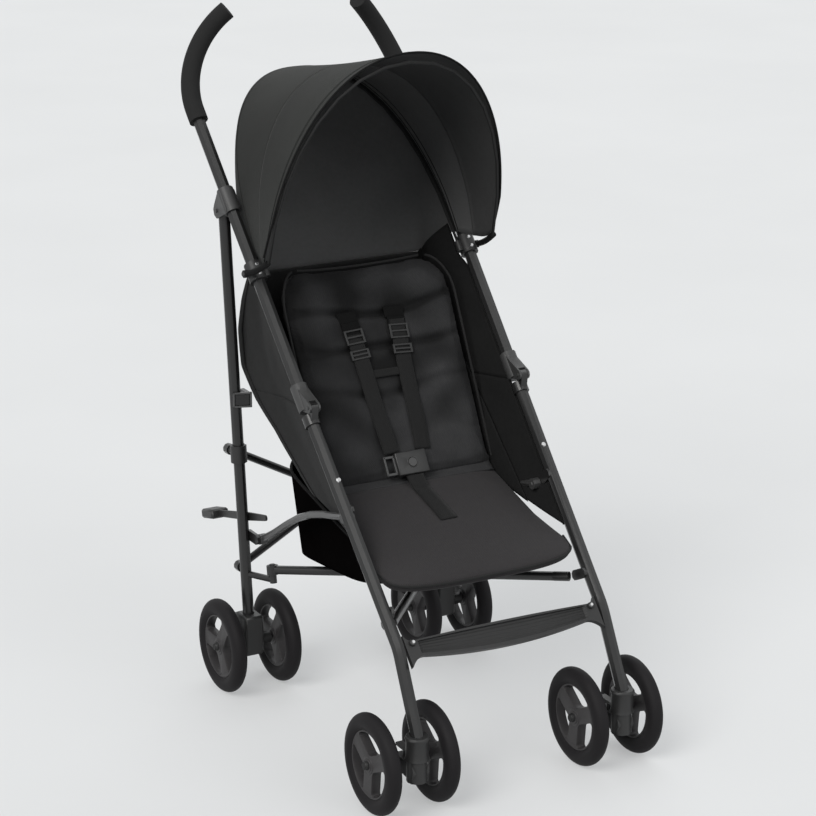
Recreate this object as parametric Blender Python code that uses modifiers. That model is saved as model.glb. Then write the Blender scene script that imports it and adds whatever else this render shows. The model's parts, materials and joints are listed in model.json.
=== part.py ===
# Lightweight folding stroller with two curved handles and eight wheels
# Metres. X points to the child's left, Y to the rear, Z up.
# The origin lies on the floor under the middle of the stroller.
import math

import bmesh
import bpy
from mathutils import Matrix, Vector

# Placement of the front axle ahead of the origin
FRONT_AXLE_Y = -0.3057

# Wheels
WHEEL_RADIUS = 0.0735
TYRE_WIDTH = 0.0235
RIM_RADIUS = 0.0545
HUB_RADIUS = 0.0150
HUB_WIDTH = 0.0250
WEB_THICKNESS = 0.0080
WHEEL_PAIR_GAP = 0.0930
FRONT_TRACK = 0.3390
REAR_TRACK = 0.3430
WHEELBASE = 0.4870
SPOKE_COUNT = 3
WHEEL_STEPS = 16
RIM_LIP = 0.0020
TYRE_STEPS = 3
TYRE_SQUARENESS = 0.75
OPENING_MARGIN = 0.0050
OPENING_CORNER = 0.0040
SPOKE_HALF_WIDTH = 0.0048
FRONT_WHEEL_TURN = math.radians(12.0)
REAR_WHEEL_TURN = math.radians(50.0)

# Axles
AXLE_RADIUS = 0.0040
AXLE_HEAD_RADIUS = 0.0062
AXLE_HEAD_LENGTH = 0.0025

# Frame tubes
LEG_TUBE_RADIUS = 0.0095
REAR_TUBE_RADIUS = 0.0088
CROSS_TUBE_RADIUS = 0.0070
REAR_BAR_RADIUS = 0.0060
LINK_RADIUS = 0.0055

# Front leg
LEG_BEND_X = 0.1680
LEG_BEND_Y = 0.0140
LEG_BEND_Z = 0.2310
LEG_TILT = math.radians(43.3)
LEG_SPLAY = 0.0200
LEG_LENGTH = 0.3747
SHANK_TILT = math.radians(27.2)
SHANK_LENGTH = 0.1340
SHANK_BEND_RADIUS = 0.0800

# Handle tube and grip
HANDLE_TILT = math.radians(42.9)
HANDLE_SPLAY = 0.0170
GRIP_START = 0.5014
GRIP_BEND_START = 0.5200
GRIP_BEND_RADIUS = 0.1300
GRIP_BEND_ANGLE = math.radians(76.0)
GRIP_TURN = (-0.72, -0.49, 0.48)
GRIP_RADIUS = 0.0145
GRIP_CAP = 0.0050
GRIP_STEPS = 7

# Elbow between the handle tube and the front leg
ELBOW_GAP = 0.0045
ELBOW_LENGTH = 0.0460
ELBOW_WALL = 0.0030
ELBOW_PIVOT_OFFSET = 0.0200
ELBOW_EAR_RADIUS = 0.0075
ELBOW_EAR_RISE = 0.0140
ELBOW_THICKNESS = 0.0170
TONGUE_THICKNESS = 0.0104
TONGUE_RADIUS = 0.0070
TONGUE_ROOT = 0.0120
ELBOW_PIN_RADIUS = 0.0025
HANDLE_TUBE_START = 0.0105
ELBOW_FOLD = math.radians(165.0)
LEG_CAP_LENGTH = 0.0160
LEG_CAP_WALL = 0.0026

# Bracket that hangs the rear leg from the handle tube
BRACKET_DISTANCE = 0.3600
BRACKET_OFFSET = 0.0250
BRACKET_LENGTH = 0.0400
BRACKET_WALL = 0.0032
BRACKET_EAR_RADIUS = 0.0120
BRACKET_EAR_STEP = 0.0007
BRACKET_PIN_RADIUS = 0.0030
REAR_LEG_OVERRUN = 0.0080

# Canopy clip on the handle tube
CLIP_DISTANCE = 0.2365
CLIP_LENGTH = 0.0300
CLIP_WALL = 0.0042
CLIP_BOW_WALL = 0.0030
CLIP_SOCKET_LENGTH = 0.0140

# Caster
CASTER_AXIS_Y = -0.0430
SOCKET_RADIUS = 0.0165
SOCKET_TOP = 0.1240
SOCKET_BOTTOM = 0.0885
SOCKET_RING = 0.0016
FORK_BOTTOM = 0.0560
FORK_WIDTH = 0.0260
STEM_RADIUS = 0.0050
STEM_TOP = 0.0975
AXLE_BOSS_RADIUS = 0.0095
SWIVEL_LOCK_WIDTH = 0.0170
SWIVEL_LOCK_LENGTH = 0.0300
SWIVEL_LOCK_THICKNESS = 0.0055
FORK_ARM_Z = 0.0720
FORK_ARM_RADIUS = 0.0125
LOCK_OFFSET = 0.0225
LOCK_Z = 0.0910
LOCK_KNUCKLE_RADIUS = 0.0028
LOCK_PIN_RADIUS = 0.0014
LOCK_EAR_WIDTH = 0.0025
LOCK_EAR_DROP = 0.0110

# Rear axle housing and brake
HOUSING_WIDTH = 0.0310
HOUSING_DEPTH = 0.0380
HOUSING_TOP = 0.1180
HOUSING_BOTTOM = 0.0540
LEG_SEAT_DEPTH = 0.0300
PEDAL_WIDTH = 0.0224
PEDAL_LENGTH = 0.0360
PEDAL_THICKNESS = 0.0060
PEDAL_KNUCKLE_RADIUS = 0.0040
PEDAL_PIN_RADIUS = 0.0020
PEDAL_EAR_WIDTH = 0.0030
PEDAL_OFFSET = 0.0255
PEDAL_Z = 0.0940
HOUSING_BEVEL = 0.0030

# Side link that locks each side open
LINK_X = 0.1560
LINK_FRONT_LUG_DISTANCE = 0.2180
LINK_FRONT_DROP = 0.0290
LINK_REAR_Z = 0.2415
LINK_REAR_OFFSET = 0.0280
LINK_RISE = 0.0190
LINK_EYE_RADIUS = 0.0085
LINK_EYE_WIDTH = 0.0114
LINK_PIN_RADIUS = 0.0030
LINK_PIN_HEAD = 0.0052
LINK_SHAPE = ((0.14, 0.35), (0.28, 0.75), (0.42, 1.0), (0.56, 1.0), (0.70, 0.72), (0.85, 0.28))

# Braces that cross under the seat
BRACE_FRONT_DISTANCE = 0.0560
BRACE_FRONT_DROP = 0.0250
BRACE_FRONT_X = 0.1480
BRACE_REAR_X = 0.1480
BRACE_REAR_Z = 0.1870
BRACE_REAR_OFFSET = 0.0440
BRACE_STEP = 0.0150
BRACE_EYE_RADIUS = 0.0090
LUG_THICKNESS = 0.0050
LUG_RADIUS = 0.0080
BRACE_EYE_WIDTH = 0.0146
BRACE_PIN_RADIUS = 0.0030
BRACE_TIP_LENGTH = 0.0240
BRACE_TIP_RADIUS = 0.0073

# Bars that cross behind the rear legs, and their sliders
REAR_BAR_LOW_Z = 0.1890
SLIDER_Z = 0.3740
SLIDER_LENGTH = 0.0270
SLIDER_WALL = 0.0035
REAR_BAR_SPACING = 0.0131
BAR_EYE_HALF = 0.0063
BAR_EYE_RADIUS = 0.0085
BAR_BOSS_RADIUS = 0.0065

# Lock lever on the right rear leg
LEVER_Z = 0.2720
LEVER_SLOPE = math.radians(15.0)
LEVER_FRONT = 0.0600
LEVER_REAR = 0.1150
LEVER_THICKNESS = 0.0034
LEVER_HEIGHT = 0.0130
LEVER_PEDAL_LENGTH = 0.0420
LEVER_PEDAL_WIDTH = 0.0300
LEVER_PEDAL_HEIGHT = 0.0150
LEVER_PIN_RADIUS = 0.0030

# Strap hook on the right rear leg
HOOK_Z = 0.4600
HOOK_THICKNESS = 0.0070
HOOK_WIDTH = 0.0240
HOOK_HEIGHT = 0.0220
HOOK_STEM = 0.0040

# Footrest
FOOTREST_LOW_DISTANCE = -0.0250
FOOTREST_HEIGHT = 0.0520
FOOTREST_WAIST = 0.0140
FOOTREST_BOW = 0.0100
FOOTREST_THICKNESS = 0.0060
FOOTREST_STEPS = 18

# Seat base
SEAT_HALF_WIDTH = 0.1440
SEAT_FRONT_Y = 0.0480
SEAT_FRONT_Z = 0.3060
SEAT_SLOPE = math.radians(15.5)
SEAT_DEPTH = 0.2520
SEAT_THICKNESS = 0.0220
SEAT_CROWN = 0.0060
SEAT_CORNER_POWER = 5.0
SEAT_CORNER = 0.0450
SEAT_FLARE = 0.0050
SEAT_FLARE_END = 0.3

# Backrest pad
BACK_LEAN = math.radians(32.0)
PAD_FRONT_Y = 0.2880
PAD_BOTTOM_Z = 0.3790
PAD_LENGTH = 0.3300
PAD_THICKNESS = 0.0180
PAD_CROWN = 0.0080
PAD_DISH = 0.0300
PAD_CHANNEL_DEPTH = 0.0050
PAD_CHANNEL_WIDTH = 0.0110
PAD_CHANNELS = (0.105, 0.190, 0.255)
PAD_CORNER = 0.0500
PAD_CORNER_SHARE = 0.5

# Backrest sling with side wings
SLING_HALF_WIDTH = 0.1468
SLING_THICKNESS = 0.0030
SLING_REAR_LINE = (
    (0.313, 0.3640), (0.340, 0.3960), (0.384, 0.4330), (0.440, 0.4650),
    (0.492, 0.5050), (0.514, 0.5600), (0.519, 0.6100), (0.520, 0.6520))
WING_INSET = 0.0230
WING_FRONT_LOW_Z = 0.3380
SLING_WING_SHARE = 0.2857143
SLING_BELLY = 0.0120

# Canopy bows and cover
# The bows stand from the clip, so the cover follows it along the handle
REAR_BOW_BEHIND = 0.0070
REAR_BOW_RISE = 0.0111
REAR_BOW_HEIGHT = 0.3250
REAR_BOW_LEAN = math.radians(41.0)
REAR_ARCH_POWER = 2.35
FRONT_COVER_HALF_WIDTH = 0.1925
FRONT_BOW_AHEAD = 0.0620
FRONT_BOW_RISE = 0.0291
FRONT_BOW_HEIGHT = 0.3060
FRONT_BOW_LEAN = math.radians(-15.5)
FRONT_ARCH_POWER = 2.15
BOW_RADIUS = 0.0025
BOW_SHRINK = 0.0042
BOW_FORWARD = 0.0050
BOW_BACK = 0.0030
REAR_BOW_TAIL = 0.0200
BOW_EYE_WIDTH = 0.0056
BOW_EYE_RADIUS = 0.0060
BOW_EYE_START = 0.0040
BOW_PIN_RADIUS = 0.0022
BOW_PIN_HEAD = 0.0045
BOW_STEPS = 16
CANOPY_THICKNESS = 0.0024
CANOPY_SAG = 0.0040
CANOPY_BACK_Y = 0.5200
CANOPY_START = 0.03
CANOPY_BACK_HALF_WIDTH = 0.1500
CANOPY_COLUMNS = 24
CANOPY_BACK_ROWS = 3
CANOPY_TOP_ROWS = 4

# Basket
BASKET_HALF_WIDTH = 0.1380
BASKET_FRONT_Y = 0.1650
BASKET_REAR_Y = 0.4550
BASKET_TOP_FRONT_Z = 0.3152
BASKET_TOP_REAR_Z = 0.3780
BASKET_BOTTOM_FRONT_Z = 0.2570
BASKET_BOTTOM_REAR_Z = 0.2290
BASKET_CORNER_POWER = 5.0
BASKET_COLUMNS = 24
BASKET_RINGS = 5
BASKET_TAPER = 0.0140
BASKET_THICKNESS = 0.0026

# Harness
STRAP_HALF_WIDTH = 0.0125
STRAP_THICKNESS = 0.0020
STRAP_SPREAD_TOP = 0.0390
STRAP_SPREAD_LOW = 0.0170
STRAP_TOP_S = 0.2350
STRAP_LOW_S = 0.0370
STRAP_STEPS = 10
BUCKLE_WIDTH = 0.0520
BUCKLE_HEIGHT = 0.0360
BUCKLE_DEPTH = 0.0120
BUCKLE_S = 0.0130
BUTTON_RADIUS = 0.0070
BUTTON_TRAVEL = 0.0020
CROTCH_WIDTH = 0.0270
CROTCH_START = 0.50
CROTCH_END = 0.84
CROTCH_STEPS = 6
STRAP_LIFT = 0.0012
BUCKLE_BEVEL = 0.0020
BUTTON_HEIGHT = 0.0040

# Clearances
TOUCH = 0.0003
BORE_PLAY = 0.0003
PIN_PLAY = 0.0003
SIDE_PLAY = 0.0004
SOFT_GAP = 0.0008

# Rivets
RIVET_RADIUS = 0.0040
RIVET_HEIGHT = 0.0015

# Values that follow from the ones above
PAD_HALF_WIDTH = SLING_HALF_WIDTH - SLING_THICKNESS / 2 - SOFT_GAP
LINK_LUG_X = LINK_X + LINK_EYE_WIDTH / 2 + SIDE_PLAY + LUG_THICKNESS / 2
BRACE_LUG_X = BRACE_FRONT_X + BRACE_EYE_RADIUS + LUG_THICKNESS / 2
HOOK_OFFSET = REAR_TUBE_RADIUS + SLIDER_WALL + 3 * TOUCH + HOOK_THICKNESS / 2

RIGHT = -1
LEFT = 1
SIDES = ((RIGHT, "right"), (LEFT, "left"))


def clear_scene():
    for item in list(bpy.data.objects):
        bpy.data.objects.remove(item, do_unlink=True)


clear_scene()
PARTS = bpy.data.collections.new("stroller")
CUTTERS = bpy.data.collections.new("cutters")
bpy.context.scene.collection.children.link(PARTS)
bpy.context.scene.collection.children.link(CUTTERS)


def make_material(name, colour, roughness, metallic=0.0):
    material = bpy.data.materials.new(name)
    material.use_nodes = True
    shader = material.node_tree.nodes["Principled BSDF"]
    shader.inputs["Base Color"].default_value = (*colour, 1.0)
    shader.inputs["Roughness"].default_value = roughness
    shader.inputs["Metallic"].default_value = metallic
    return material


FRAME = make_material("coated tube", (0.035, 0.035, 0.036), 0.38, 0.6)
PLASTIC = make_material("moulded plastic", (0.022, 0.022, 0.023), 0.5)
FOAM = make_material("grip foam", (0.018, 0.019, 0.019), 0.85)
TYRE = make_material("tyre", (0.045, 0.043, 0.044), 0.6)
METAL = make_material("bare metal", (0.45, 0.45, 0.46), 0.3, 1.0)
CLOTH = make_material("woven cloth", (0.028, 0.028, 0.028), 0.9)
PADDING = make_material("padded cloth", (0.020, 0.020, 0.021), 0.9)
WEBBING = make_material("webbing", (0.012, 0.012, 0.013), 0.7)


def place(side, x, y, z):
    return Vector((side * x, y + FRONT_AXLE_Y, z))


def add_object(name, mesh, material, collection=None):
    item = bpy.data.objects.new(name, mesh)
    if material is not None:
        mesh.materials.clear()
        mesh.materials.append(material)
    (collection or PARTS).objects.link(item)
    return item


def mesh_from_bmesh(name, bm):
    bmesh.ops.recalc_face_normals(bm, faces=bm.faces)
    mesh = bpy.data.meshes.new(name)
    bm.to_mesh(mesh)
    bm.free()
    return mesh


def align(direction, up=None):
    # Turn that carries local Z onto the direction
    z = Vector(direction).normalized()
    guess = Vector(up) if up is not None else Vector((1.0, 0.0, 0.0))
    if abs(z.dot(guess)) > 0.99:
        guess = Vector((0.0, 1.0, 0.0))
    x = (guess - z * guess.dot(z)).normalized()
    y = z.cross(x)
    return Matrix((x, y, z)).transposed().to_4x4()


def rod(name, start, end, radius, sides=12, tip_radius=None):
    start = Vector(start)
    end = Vector(end)
    bm = bmesh.new()
    tip = radius if tip_radius is None else tip_radius
    turn = Matrix.Translation((start + end) / 2) @ align(end - start)
    bmesh.ops.create_cone(
        bm, cap_ends=True, segments=sides, radius1=radius, radius2=tip,
        depth=(end - start).length, matrix=turn)
    return add_object(name, mesh_from_bmesh(name, bm), None)


def block(name, centre, size, turn=None):
    bm = bmesh.new()
    matrix = Matrix.Translation(centre)
    if turn is not None:
        matrix = matrix @ turn.to_4x4()
    matrix = matrix @ Matrix.Diagonal((*size, 1.0))
    bmesh.ops.create_cube(bm, size=1.0, matrix=matrix)
    return add_object(name, mesh_from_bmesh(name, bm), None)


def curve_object(name, points, radius, resolution=4):
    curve = bpy.data.curves.new(name, "CURVE")
    curve.dimensions = "3D"
    curve.bevel_depth = radius
    curve.bevel_resolution = resolution
    curve.use_fill_caps = True
    spline = curve.splines.new("POLY")
    spline.points.add(len(points) - 1)
    for target, source in zip(spline.points, points):
        target.co = (*source, 1.0)
    item = bpy.data.objects.new(name, curve)
    PARTS.objects.link(item)
    return item


def as_mesh(item):
    # Replace a curve, or an object with modifiers, by its evaluated mesh
    bpy.context.view_layer.update()
    graph = bpy.context.evaluated_depsgraph_get()
    mesh = bpy.data.meshes.new_from_object(item.evaluated_get(graph))
    bm = bmesh.new()
    bm.from_mesh(mesh)
    bmesh.ops.remove_doubles(bm, verts=bm.verts, dist=1e-6)
    bm.to_mesh(mesh)
    bm.free()
    name = item.name
    matrix = item.matrix_world.copy()
    bpy.data.objects.remove(item, do_unlink=True)
    mesh.name = name
    result = bpy.data.objects.new(name, mesh)
    result.matrix_world = matrix
    PARTS.objects.link(result)
    return result


def tube(name, points, radius, resolution=4):
    return as_mesh(curve_object(name, points, radius, resolution))


def hull_outline(circles, steps=10):
    # Convex outline round a set of circles given as (u, v, radius)
    points = []
    for u, v, radius in circles:
        for i in range(steps):
            angle = 2 * math.pi * i / steps
            points.append((u + radius * math.cos(angle), v + radius * math.sin(angle)))
    points = sorted(set(points))

    def half(sequence):
        chain = []
        for p in sequence:
            while len(chain) > 1:
                ax, ay = chain[-2]
                bx, by = chain[-1]
                if (bx - ax) * (p[1] - ay) - (by - ay) * (p[0] - ax) > 1e-9:
                    break
                chain.pop()
            chain.append(p)
        return chain

    return half(points)[:-1] + half(points[::-1])[:-1]


def plate(name, outline, thickness, centre_x):
    # Flat outline in the side plane, given as (y, z), with its thickness along X
    curve = bpy.data.curves.new(name, "CURVE")
    curve.dimensions = "2D"
    curve.fill_mode = "BOTH"
    curve.extrude = thickness / 2
    spline = curve.splines.new("POLY")
    spline.points.add(len(outline) - 1)
    for target, (u, v) in zip(spline.points, outline):
        target.co = (u, v, 0.0, 1.0)
    spline.use_cyclic_u = True
    item = bpy.data.objects.new(name, curve)
    PARTS.objects.link(item)
    turn = Matrix(((0, 0, 1, 0), (1, 0, 0, 0), (0, 1, 0, 0), (0, 0, 0, 1)))
    item.matrix_world = Matrix.Translation((centre_x, 0.0, 0.0)) @ turn
    return as_mesh(item)


def turned(name, profile, centre, direction, steps):
    # Profile of (radius, height) pairs, from top to bottom, spun about the direction
    bm = bmesh.new()
    verts = [bm.verts.new((radius, 0.0, height)) for radius, height in profile]
    for first, second in zip(verts, verts[1:]):
        bm.edges.new((first, second))
    if profile[0][0] > 1e-6:
        bm.edges.new((verts[-1], verts[0]))
    mesh = bpy.data.meshes.new(name)
    bm.to_mesh(mesh)
    bm.free()
    item = bpy.data.objects.new(name, mesh)
    PARTS.objects.link(item)
    screw = item.modifiers.new("turn", "SCREW")
    screw.steps = steps
    screw.render_steps = steps
    screw.use_merge_vertices = True
    screw.merge_threshold = 1e-5
    item.matrix_world = Matrix.Translation(centre) @ align(direction)
    result = as_mesh(item)
    bm = bmesh.new()
    bm.from_mesh(result.data)
    bmesh.ops.recalc_face_normals(bm, faces=bm.faces)
    bm.to_mesh(result.data)
    bm.free()
    return result


def set_aside(item):
    for owner in list(item.users_collection):
        owner.objects.unlink(item)
    CUTTERS.objects.link(item)
    item.hide_render = True
    item.display_type = "WIRE"


def combine(target, operation, *others):
    for other in others:
        modifier = target.modifiers.new(other.name, "BOOLEAN")
        modifier.operation = operation
        modifier.solver = "EXACT"
        modifier.object = other
        set_aside(other)
    return target


def unite(target, *others):
    return combine(target, "UNION", *others)


def cut(target, *others):
    return combine(target, "DIFFERENCE", *others)


def finish(item, material, smooth_angle=40.0):
    item.data.materials.clear()
    item.data.materials.append(material)
    if item.type == "MESH":
        item.data.shade_smooth()
        item.data.set_sharp_from_angle(angle=math.radians(smooth_angle))
    return item


def bent_path(start, corner, end, radius, steps=6):
    # Two straight runs joined by an arc of the given radius
    start, corner, end = Vector(start), Vector(corner), Vector(end)
    into = (corner - start).normalized()
    out = (end - corner).normalized()
    angle = into.angle(out)
    reach = radius * math.tan(angle / 2)
    normal = (out - into * out.dot(into)).normalized()
    first = corner - into * reach
    path = [start]
    for i in range(steps + 1):
        turn = angle * i / steps
        path.append(first + into * radius * math.sin(turn) + normal * radius * (1 - math.cos(turn)))
    path.append(end)
    return path


# Reference points and directions of the side frames
def leg_direction(side):
    return Vector((side * LEG_SPLAY, math.sin(LEG_TILT), math.cos(LEG_TILT)))


def leg_point(side, distance):
    return place(side, LEG_BEND_X, LEG_BEND_Y, LEG_BEND_Z) + leg_direction(side) * distance


def leg_below(side, distance, drop):
    # Point under the front leg, square to it
    return leg_point(side, distance) + Vector((0.0, math.cos(LEG_TILT), -math.sin(LEG_TILT))) * drop


def handle_direction(side):
    return Vector((side * HANDLE_SPLAY, math.sin(HANDLE_TILT), math.cos(HANDLE_TILT)))


def handle_point(side, distance):
    return leg_point(side, LEG_LENGTH) + handle_direction(side) * distance


def handle_behind(side, distance, offset):
    behind = Vector((0.0, math.cos(HANDLE_TILT), -math.sin(HANDLE_TILT)))
    return handle_point(side, distance) + behind * offset


def elbow_pivot(side):
    return handle_behind(side, 0.0, -ELBOW_PIVOT_OFFSET)


def bracket_pivot(side):
    return handle_behind(side, BRACKET_DISTANCE, BRACKET_OFFSET)


def rear_axle_point(side):
    return place(side, REAR_TRACK / 2, WHEELBASE, WHEEL_RADIUS)


def rear_direction(side):
    return (bracket_pivot(side) - rear_axle_point(side)).normalized()


def rear_lean(side):
    # Turn about the left-right axis that stands a block up along the rear leg
    way = rear_direction(side)
    return Matrix.Rotation(math.atan2(-way.y, way.z), 3, "X")


def rear_point(side, height):
    foot = rear_axle_point(side)
    way = rear_direction(side)
    return foot + way * ((height - foot.z) / way.z)


def rear_forward(side):
    # Unit vector that points forward, square to the rear leg
    way = rear_direction(side)
    return Vector((0.0, -way.z, way.y)).normalized()


def caster_axis(side, height):
    return place(side, FRONT_TRACK / 2, CASTER_AXIS_Y, height)


def front_axle_point(side):
    return place(side, FRONT_TRACK / 2, 0.0, WHEEL_RADIUS)


def link_front(side):
    point = leg_below(side, LINK_FRONT_LUG_DISTANCE, LINK_FRONT_DROP)
    return Vector((side * LINK_X, point.y, point.z))


def link_rear(side):
    point = rear_point(side, LINK_REAR_Z) + rear_forward(side) * LINK_REAR_OFFSET
    return Vector((side * LINK_X, point.y, point.z))


def brace_ends(side):
    # Middle line of a brace, from its own rear leg to the other front leg
    front = leg_below(-side, BRACE_FRONT_DISTANCE, BRACE_FRONT_DROP)
    rear = rear_point(side, BRACE_REAR_Z) + rear_forward(side) * BRACE_REAR_OFFSET
    front.x = -side * BRACE_FRONT_X
    rear.x = side * BRACE_REAR_X
    run = front - rear
    normal = Vector((0.0, run.z, -run.y)).normalized()
    shift = normal * (-side * BRACE_STEP / 2)
    return front + shift, rear + shift


def brace_axis(side):
    # Pin square to the plane that both braces swing in as the sides close
    front, rear = brace_ends(side)
    run = front - rear
    return Vector((0.0, run.z, -run.y)).normalized()


def bar_layer(side):
    return 0 if side == RIGHT else 1


def rear_bar_depth(layer):
    slider = REAR_TUBE_RADIUS + TOUCH + SLIDER_WALL + SIDE_PLAY
    return slider + BAR_EYE_HALF + layer * REAR_BAR_SPACING


def rear_bar_end(side, height, layer):
    return rear_point(side, height) - rear_forward(side) * rear_bar_depth(layer)


def rivet(name, start, direction, radius=RIVET_RADIUS, height=RIVET_HEIGHT):
    start = Vector(start)
    direction = Vector(direction).normalized()
    return rod(name, start - direction * height, start + direction * height, radius, 8, radius * 0.7)


def lug(name, side, anchor, pivot, x_centre, thickness=LUG_THICKNESS, radius=LUG_RADIUS):
    outline = hull_outline(((anchor.y, anchor.z, radius), (pivot.y, pivot.z, radius)), 8)
    return plate(name, outline, thickness, side * x_centre)


def lever_pivot():
    offset = REAR_TUBE_RADIUS + SIDE_PLAY + LEVER_THICKNESS / 2
    return rear_point(RIGHT, LEVER_Z) + Vector((offset, 0.0, 0.0))


def lock_pivot(side):
    return place(side, FRONT_TRACK / 2, CASTER_AXIS_Y + LOCK_OFFSET, LOCK_Z)


def pedal_pivot(side):
    return place(side, REAR_TRACK / 2, WHEELBASE + PEDAL_OFFSET, PEDAL_Z)


def axis_pin(name, start, end, radius, head_radius, head_length):
    # Pin with a head at its far end
    start = Vector(start)
    end = Vector(end)
    way = (end - start).normalized()
    length = (end - start).length
    profile = (
        (0.0, length + head_length), (head_radius * 0.8, length + head_length),
        (head_radius, length), (radius, length), (radius, 0.0), (0.0, 0.0))
    return turned(name, profile, start, way, 8)


def shift_x(point, distance):
    return Vector(point) + Vector((distance, 0.0, 0.0))


# Frame tubes and their joints
def handle_path(side, extra=0.0, start=HANDLE_TUBE_START, angle=GRIP_BEND_ANGLE):
    base = handle_point(side, GRIP_BEND_START)
    along = handle_direction(side).normalized()
    turn = Vector((side * GRIP_TURN[0], GRIP_TURN[1], GRIP_TURN[2]))
    normal = (turn - along * turn.dot(along)).normalized()
    path = [handle_point(side, start)]
    steps = GRIP_STEPS
    for i in range(steps + 1):
        a = angle * i / steps
        arc = along * math.sin(a) + normal * (1 - math.cos(a))
        path.append(base + arc * GRIP_BEND_RADIUS)
    if extra > 0.0:
        path.append(path[-1] + (path[-1] - path[-2]).normalized() * extra)
    return path


def build_handle(side, word):
    pipe = tube("handle_tube_" + word, handle_path(side), LEG_TUBE_RADIUS, 2)
    finish(pipe, FRAME)
    grip = tube("handle_grip_" + word, handle_path(side, GRIP_CAP, GRIP_START), GRIP_RADIUS, 2)
    bore = tube("grip bore " + word, handle_path(side, TOUCH), LEG_TUBE_RADIUS + TOUCH, 2)
    finish(cut(grip, bore), FOAM)


def build_elbow(side, word):
    pivot = elbow_pivot(side)
    low = handle_point(side, ELBOW_GAP)
    high = handle_point(side, ELBOW_LENGTH)
    sleeve = rod("elbow_" + word, low, high, LEG_TUBE_RADIUS + ELBOW_WALL, 12)
    rise = handle_behind(side, ELBOW_EAR_RISE, 0.0)
    top = handle_behind(side, ELBOW_LENGTH - ELBOW_EAR_RADIUS, 0.0)
    outline = hull_outline((
        (pivot.y, pivot.z, ELBOW_EAR_RADIUS), (rise.y, rise.z, ELBOW_EAR_RADIUS),
        (top.y, top.z, ELBOW_EAR_RADIUS)), 10)
    lobe = plate("elbow lobe " + word, outline, ELBOW_THICKNESS, pivot.x)
    bore = rod("elbow bore " + word, handle_point(side, HANDLE_TUBE_START - TOUCH),
               handle_point(side, ELBOW_LENGTH + LEG_TUBE_RADIUS), LEG_TUBE_RADIUS + TOUCH, 16)
    reach = 0.03
    root = handle_behind(side, -TONGUE_ROOT - ELBOW_GAP, 0.0) - pivot
    rest = math.atan2(root.z, root.y)
    radius = TONGUE_RADIUS + SIDE_PLAY
    circles = [(pivot.y, pivot.z, radius)]
    for part in (0.0, 0.33, 0.67, 1.0):
        a = rest - ELBOW_FOLD * part
        circles.append((pivot.y + reach * math.cos(a), pivot.z + reach * math.sin(a), radius))
    slot = plate("elbow slot " + word, hull_outline(circles, 10), TONGUE_THICKNESS + 2 * SIDE_PLAY, pivot.x)
    pin = rod("elbow pin " + word, shift_x(pivot, -ELBOW_THICKNESS / 2 - RIVET_HEIGHT),
              shift_x(pivot, ELBOW_THICKNESS / 2 + RIVET_HEIGHT), ELBOW_PIN_RADIUS, 12)
    item = unite(sleeve, lobe)
    cut(item, slot, bore)
    finish(unite(item, pin), PLASTIC)


def build_front_leg(side, word):
    foot = leg_point(side, 0.0) - Vector((
        side * (LEG_BEND_X - FRONT_TRACK / 2), math.sin(SHANK_TILT) * SHANK_LENGTH,
        math.cos(SHANK_TILT) * SHANK_LENGTH))
    top = leg_point(side, LEG_LENGTH - ELBOW_GAP)
    path = bent_path(foot, leg_point(side, 0.0), top, SHANK_BEND_RADIUS)
    leg = tube("front_leg_" + word, path, LEG_TUBE_RADIUS, 2)
    cap = rod("leg cap " + word, leg_point(side, LEG_LENGTH - ELBOW_GAP - LEG_CAP_LENGTH), top,
              LEG_TUBE_RADIUS + LEG_CAP_WALL, 12)
    pivot = elbow_pivot(side)
    root = handle_behind(side, -TONGUE_ROOT - ELBOW_GAP, 0.0)
    outline = hull_outline((
        (pivot.y, pivot.z, TONGUE_RADIUS), (root.y, root.z, TONGUE_RADIUS)), 8)
    tongue = plate("leg tongue " + word, outline, TONGUE_THICKNESS, pivot.x)
    hole = rod("tongue hole " + word, shift_x(pivot, -ELBOW_THICKNESS), shift_x(pivot, ELBOW_THICKNESS),
               ELBOW_PIN_RADIUS + PIN_PLAY, 12)
    link = link_front(side)
    link_anchor = leg_point(side, LINK_FRONT_LUG_DISTANCE)
    link_lug = lug("link lug " + word, side, link_anchor, link, LINK_LUG_X)
    brace = brace_ends(-side)[0]
    brace_anchor = leg_point(side, BRACE_FRONT_DISTANCE)
    brace_lug = lug("brace lug " + word, side, brace_anchor, brace, BRACE_LUG_X)
    cut(unite(leg, cap, tongue, link_lug, brace_lug), hole)
    finish(leg, FRAME)


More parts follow.
